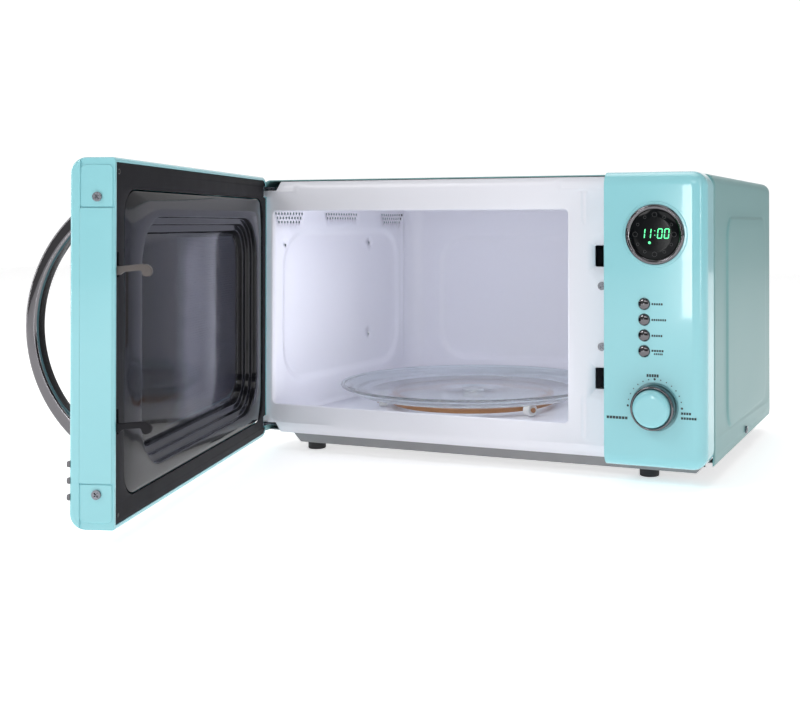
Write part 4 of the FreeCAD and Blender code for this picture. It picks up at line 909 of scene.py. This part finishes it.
def build_rim_marks():
    """Small open ring on the matt rim near the free edge, and a flat black disc for the round drain hole: painted
    shade in place of a cut hole.
    """
    y = span("choke_cover", shut=True)[1].y + 0.03
    turn = [math.radians(a) for a in range(40, 321, 20)]
    count = len(turn)
    points = [(RIM_MARK_X + r * math.cos(a), y, RIM_MARK_Z + r * math.sin(a))
              for r in (1.9, 1.25) for a in turn]
    faces = [(i, i + 1, count + i + 1, count + i) for i in range(count - 1)]
    piece("rim_mark", points, faces, "door", "black_plastic", material=HOOK_BROWN)
    # Flat black disc for the drain hole: painted shade, not a cut hole.
    disc = [(x, y, z) for x, z in circle(RIM_MARK_X, RIM_HOLE_Z, 1.5, 20)]
    piece("rim_hole_painted_shade", disc, [tuple(range(20))], "door", "black_plastic", material=LENS_BLACK)


def build_edge_corners():
    """Moulded end plates in the sunk ends of the free edge, with rounded corners."""
    strip_low, strip_high = span("door_edge_strip", shut=True)
    right = frame_high.x - 1.2
    front, back = FACE + 5.2, DOOR_BACK - 1.6
    for name, outer_z, inner_z, up in (("low", frame_low.z + 5.2, strip_low.z - 1.0, 1),
                                       ("high", frame_high.z - 5.2, strip_high.z + 1.0, -1)):
        ring = [(front, inner_z)]
        for i in range(9):
            a = math.radians(90 * i / 8)
            ring.append((front + 7 - 7 * math.cos(a), outer_z + up * (7 - 7 * math.sin(a))))
        ring += [(back - 2, outer_z), (back, outer_z + up * 2), (back, inner_z)]
        slab(f"edge_corner_{name}", ring, right - 0.3, right + 0.7, 0.25, "door", "aqua_plastic")


def build_hooks():
    """Latch bar with two moulded hooks: a shank that rises slightly and a fat down-turned tip."""
    low, high = span("latch_key", shut=True)
    x = frame_high.x - 5.6
    root, tip = DOOR_BACK - 4, high.y
    bar_top = BASE + 186
    ring = [(low.y, low.z), (root, low.z), (root, bar_top), (low.y, bar_top)]
    slab("latch_bar", ring, x - 3.4, x + 1.8, 0.6, "latch", "black_plastic", replaces=["latch_key"])
    # The upper hook gets the lighter brownish grey, a painted highlight; the lower hook stays black.
    for name, level, material in (("low", HOOKS[0], None), ("high", HOOKS[1], HOOK_BROWN)):
        base = level + 1.6
        top = base + 8.5
        outline = [(root, base + 1.2), (root, top - 1.6), (root + 8, top - 1.2), (tip - 8, top),
                   (tip - 3, top - 0.2), (tip, top - 3.4), (tip - 0.6, base + 1.6), (tip - 3, base),
                   (tip - 6.6, base + 0.6), (tip - 7.4, top - 4.2), (root + 8, top - 5.4),
                   (root + 6, base + 1.2)]
        slab(f"latch_hook_{name}", rounded_loop(outline, 1.6), x - 1.6, x + 1.6, 0.6, "latch",
             "black_plastic", material=material)


# ------------------------------------------------------------ controls

ring_low, ring_high = span("display_ring")
DISPLAY = (ring_low + ring_high) / 2
DISPLAY_R = (ring_high.x - ring_low.x) / 2
cap_low, cap_high = span("knob_cap")
KNOB = (cap_low + cap_high) / 2
SEGMENTS = {"0": "abcdef", "1": "bc"}


def join(parts):
    """One list of vertices and faces from several."""
    points, faces = [], []
    for some_points, some_faces in parts:
        start = len(points)
        points += some_points
        faces += [tuple(start + i for i in f) for f in some_faces]
    return points, faces


def hexagon(x0, z0, x1, z1):
    """Outline of a display segment with pointed ends."""
    if x1 - x0 > z1 - z0:
        h, m = (z1 - z0) / 2, (z0 + z1) / 2
        return [(x0, m), (x0 + h, z0), (x1 - h, z0), (x1, m), (x1 - h, z1), (x0 + h, z1)]
    h, m = (x1 - x0) / 2, (x0 + x1) / 2
    return [(m, z0), (x1, z0 + h), (x1, z1 - h), (m, z1), (x0, z1 - h), (x0, z0 + h)]


DIGIT_WIDTH, DIGIT_HEIGHT, STROKE = 4.3, 8.4, 0.8


def build_display():
    """Domed black lens, bright ring, lit digits and faint dots."""
    r = DISPLAY_R
    inner = r - 4
    bezel = rounded([(r, 3.2), (r, 1.1), (r - 0.9, 0.15), (r - 2.4, 0.0), (inner + 0.4, 1.0),
                     (inner, 1.6), (inner, 3.0)], 0.8, 4)
    turned("display_bezel", bezel, (DISPLAY.x, ring_low.y, DISPLAY.z), "Y", 128, "cabinet", "chrome",
           replaces=["display_ring"], angle=60)
    lens_y = span("display_lens")[0].y
    dome = [(inner - 0.1, 1.4), (inner - 0.1, 0.5), (inner - 0.4, 0.22), (14, 0.1), (8, 0.03), (0, 0.0)]
    turned("display_glass", dome, (DISPLAY.x, lens_y, DISPLAY.z), "Y", 128, "cabinet", "dark_glass",
           material=LENS_BLACK, replaces=["display_lens"], angle=50)
    lit_y, sunk_y = lens_y - 0.05, lens_y + 0.3
    parts = []
    for place, digit in ((-8.3, "1"), (-3.2, "1"), (4.4, "0"), (10.1, "0")):
        w, h, t = DIGIT_WIDTH, DIGIT_HEIGHT, STROKE
        x0, z0 = DISPLAY.x + place - w / 2, DISPLAY.z + 0.8 - h / 2
        x0 -= (w - t) / 2 if digit == "1" else 0
        x1, z1, half = x0 + w, z0 + h, z0 + h / 2
        shapes = {"a": (x0 + 0.4, z1 - t, x1 - 0.4, z1), "b": (x1 - t, half + 0.15, x1, z1 - 0.4),
                  "c": (x1 - t, z0 + 0.4, x1, half - 0.15), "d": (x0 + 0.4, z0, x1 - 0.4, z0 + t),
                  "e": (x0, z0 + 0.4, x0 + t, half - 0.15), "f": (x0, half + 0.15, x0 + t, z1 - 0.4)}
        for name in SEGMENTS[digit]:
            lean = [(x + (z - DISPLAY.z) * 0.10, z) for x, z in hexagon(*shapes[name])]
            parts.append(prism(lean, lit_y, sunk_y))
    for dz in (-1.0, 2.6):
        low = DISPLAY.z + dz
        parts.append(prism(hexagon(DISPLAY.x - 0.2, low, DISPLAY.x + 0.7, low + 0.9), lit_y, sunk_y))
    piece("display_digits", *join(parts), "cabinet", "dark_glass", material=GLOW)
    turned("display_lamp", [(1.1, 0.4), (1.1, 0.02), (0.9, 0.0), (0, 0)],
           (DISPLAY.x - 4.2, lit_y, DISPLAY.z - 6.7), "Y", 20, "cabinet", "dark_glass", material=GLOW)
    dots = []
    for i, (cx, cz) in enumerate(circle(DISPLAY.x, DISPLAY.z, 16.2, 12)):
        size = 2.1 if i % 3 == 0 else 1.3
        ring = circle(cx, cz, size, 18) + circle(cx, cz, size - 0.3, 18)
        dots.append(([(px, lens_y - 0.02, pz) for px, pz in ring], band(0, 18, 18)))
    piece("display_marks", *join(dots), "cabinet", "dark_glass", material=LENS_INK)


def build_knob():
    """Knob: bright stepped collar round a coloured, slightly domed face."""
    low, high = span("knob_collar")
    r = (high.x - low.x) / 2
    front, tall = low.y, high.y - low.y
    collar = rounded([(r, tall), (r, 2.2), (r - 0.5, 0.6), (r - 1.3, 0.0), (r - 2.3, 0.3), (r - 2.75, 1.2),
                      (r - 2.75, tall)], 0.6, 4)
    turned("knob_ring", collar, (KNOB.x, front, KNOB.z), "Y", 128, "knob", "chrome",
           replaces=["knob_collar"], angle=60)
    rc = (cap_high.x - cap_low.x) / 2
    face = rounded([(rc, cap_high.y - cap_low.y), (rc, 5.6), (rc - 0.35, 2.4), (rc - 1.7, 0.75),
                    (rc - 3.6, 0.28), (9.0, 0.06), (0, 0.0)], 1.2, 5)
    turned("knob_face", face, (KNOB.x, cap_low.y, KNOB.z), "Y", 128, "knob", "aqua_plastic",
           replaces=["knob_cap"], angle=60)


def build_buttons():
    """Chrome domes with a fine seam at the foot."""
    for i in (1, 2, 3, 4):
        low, high = span(f"button_{i}")
        x, z = (low.x + high.x) / 2, (low.z + high.z) / 2
        r = 4.7
        dome = [(1.7, high.y - low.y), (1.7, 5.2), (5.6, 5.2), (5.6, 4.9), (r, 4.6), (r, 2.1)]
        for k in range(1, 11):
            a = math.radians(90 * k / 10)
            dome.append((r * math.cos(a), 2.1 * (1 - math.sin(a))))
        turned(f"button_dome_{i}", dome, (x, low.y, z), "Y", 64, f"button_{i}", "chrome",
               replaces=[f"button_{i}"], angle=50)


def words(x, z, count, letter, height):
    """A row of thin printed bars that stands for a word."""
    bars = []
    for i in range(count):
        left, low = x + (letter + 0.45) * i, z - height / 2
        ring = [(left, low), (left + letter, low), (left + letter, low + height), (left, low + height)]
        bars.append(prism(ring, FACE - 0.03, FACE + 0.02))
    return bars


def build_prints():
    """Dots of the dial and plain bars beside the controls, in place of lettering."""
    dots = []
    for i in range(15):
        a = math.radians(180 * i / 14)
        size = 0.95 if i in (0, 7, 14) else 0.5
        ring = circle(KNOB.x + 22.6 * math.cos(a), KNOB.z + 22.6 * math.sin(a), size, 14)
        dots.append(([(px, FACE - 0.04, pz) for px, pz in ring], [tuple(range(14))]))
    piece("dial_dots", *join(dots), "cabinet", "aqua_plastic", material=DIAL_INK)
    rows = []
    for i, count, length, lift in ((1, 5, 9.3, 0), (2, 7, 12.2, 0), (3, 5, 9.0, 0), (4, 5, 10.0, 0.6)):
        low, high = span(f"button_{i}")
        middle = (low.z + high.z) / 2
        rows += words(175.4, middle + lift, count, (length - 0.45 * (count - 1)) / count, 1.7)
    rows += words(177.4, middle - 2.0, 5, 1.1, 1.5)
    for dx, dz, count, letter, height in ((-6.7, 25.4, 5, 1.64, 2.4), (-40.8, -10.4, 7, 2.17, 2.2),
                                          (21.8, -4.0, 4, 1.7, 1.9), (21.8, -7.9, 6, 1.72, 1.9)):
        rows += words(KNOB.x + dx, KNOB.z + dz, count, letter, height)
    piece("panel_marks", *join(rows), "cabinet", "aqua_plastic", material=DIAL_INK)


def build_seams():
    """Seam clip below the panel's right edge, black so that it also paints the thin shadow line there, and two low
    bumps under the base pan.
    """
    low, high = span("control_panel")
    clip = rounded([(2.2, 0.0), (2.2, 0.7), (0.0, 0.9)], 0.3)
    # Black clip: painted shadow for the thin dark line under the panel's side.
    turned("seam_clip_painted_shadow", clip, (high.x - 9, FRONT - 1.2, low.z - 0.8), "Z", 20, "cabinet", "black_plastic")
    bump = [(3.2, 0.0), (2.6, -1.0), (1.2, -1.5), (0, -1.6)]
    for side, x in (("left", -70), ("right", 60)):
        turned(f"pan_bump_{side}", bump, (x, FRONT + 13, BASE), "Z", 24, "cabinet", "grey_steel")


for build in (build_wrap, build_front_plate, build_cavity, build_tray, build_wheels,
              build_door_inside, build_screen, build_window, build_handle, build_rim_marks,
              build_edge_corners, build_hooks, build_display, build_knob, build_buttons,
              build_prints, build_seams):
    build()

# ------------------------------------------------------------ carried-over CAD nodes

SLOT_OF = {part["node"]: part["material_slot"] for part in frame["record"]["subparts"]}
for node, obj in NODES.items():
    slot = SLOT_OF[node]
    obj.data.materials.clear()
    obj.data.materials.append(CARRIED.get(slot, MATERIALS[slot]))

# ------------------------------------------------------------ floor, lights and camera


def build_floor():
    """Pale floor far larger than the object."""
    reach = (-4000, -2000, 0, 2000, 4000)
    points = [(x, y, 0) for x in reach for y in reach]
    n = len(reach)
    faces = [(i * n + k, (i + 1) * n + k, (i + 1) * n + k + 1, i * n + k + 1)
             for i in range(n - 1) for k in range(n - 1)]
    mesh = bpy.data.meshes.new("floor")
    mesh.from_pydata([Vector(p) * MM for p in points], [], faces)
    mesh.materials.append(finish("floor_paper", (0.92, 0.92, 0.92), 0.75, vary=0.005, grain=60, bump=0.01,
                                 Emission_Color=(1, 1, 1, 1), Emission_Strength=0.55))
    floor = bpy.data.objects.new("floor", mesh)
    SCENE.objects.link(floor)


def soft_light(name, place, aim, size, power, colour=(1, 1, 1), hidden=False):
    """Rectangular area light; a hidden one isn't seen by the camera or in reflections."""
    data = bpy.data.lights.new(name, "AREA")
    data.shape = "RECTANGLE"
    data.size, data.size_y = size
    data.energy = power
    data.color = colour
    light = bpy.data.objects.new(name, data)
    light.location = place
    light.rotation_euler = (Vector(aim) - Vector(place)).to_track_quat("-Z", "Y").to_euler()
    light.visible_camera = False
    light.visible_glossy = not hidden
    SCENE.objects.link(light)


def build_world():
    """Studio surroundings: white overhead and behind the object, greyer in front and to the right."""
    world = bpy.data.worlds.new("studio")
    bpy.context.scene.world = world
    world.use_nodes = True
    nodes, links = world.node_tree.nodes, world.node_tree.links
    direction = nodes.new("ShaderNodeSeparateXYZ")
    links.new(nodes.new("ShaderNodeTexCoord").outputs["Generated"], direction.inputs["Vector"])
    strength = nodes.new("ShaderNodeMath")
    strength.operation = "MULTIPLY"
    for i, (axis, limits) in enumerate((("Y", (-0.25, 0.6, 0.28, 1.05)), ("X", (-0.12, 0.14, 1.0, 0.35)))):
        ramp = nodes.new("ShaderNodeMapRange")
        ramp.interpolation_type = "SMOOTHSTEP"
        links.new(direction.outputs[axis], ramp.inputs["Value"])
        for key, value in zip(RAMP, limits):
            ramp.inputs[key].default_value = value
        links.new(ramp.outputs["Result"], strength.inputs[i])
    background = nodes["Background"]
    links.new(strength.outputs["Value"], background.inputs["Strength"])
    background.inputs["Color"].default_value = (1, 1, 1, 1)


def build_camera():
    """Nearly level camera to the right of the front, with its frame shifted down and left."""
    data = bpy.data.cameras.new("camera")
    data.lens = 52.17
    data.sensor_width = 36
    data.shift_x = -0.1275
    data.shift_y = -0.1775
    data.clip_end = 50
    camera = bpy.data.objects.new("camera", data)
    camera.location = (0.4155, -1.1021, 0.2169)
    camera.rotation_euler = (math.radians(90.51), 0, math.radians(21.89))
    SCENE.objects.link(camera)
    bpy.context.scene.camera = camera


build_floor()
build_world()
bpy.context.scene.view_settings.view_transform = "Standard"
soft_light("key_left", (-1.3, -1.9, 1.9), (0, -0.1, 0.12), (0.9, 0.9), 16)
soft_light("front_high", (0.6, -2.4, 1.5), (0, 0, 0.12), (1.6, 0.9), 9)
soft_light("fill_right", (2.0, -1.2, 1.3), (0.1, 0, 0.12), (0.9, 1.5), 5)
soft_light("overhead", (0.1, 0.2, 2.3), (0, 0, 0.1), (1.8, 1.4), 14)
soft_light("window_strip", (-0.183, -1.9, 0.155), (-0.183, 0, 0.155), (0.03, 0.31), 0.5)
soft_light("side_strip", (1.9, -1.15, 0.25), (0.2, -0.2, 0.2), (0.08, 0.8), 2.5)
soft_light("handle_strip", (-1.7, -1.0, 0.55), (-0.3, -0.4, 0.15), (0.12, 1.1), 5)
soft_light("cavity_fill", (-0.057, -0.15, 0.14), (-0.057, 0.1, 0.13), (0.28, 0.16), 0.17,
           (0.89, 0.91, 1.0), hidden=True)
build_camera()
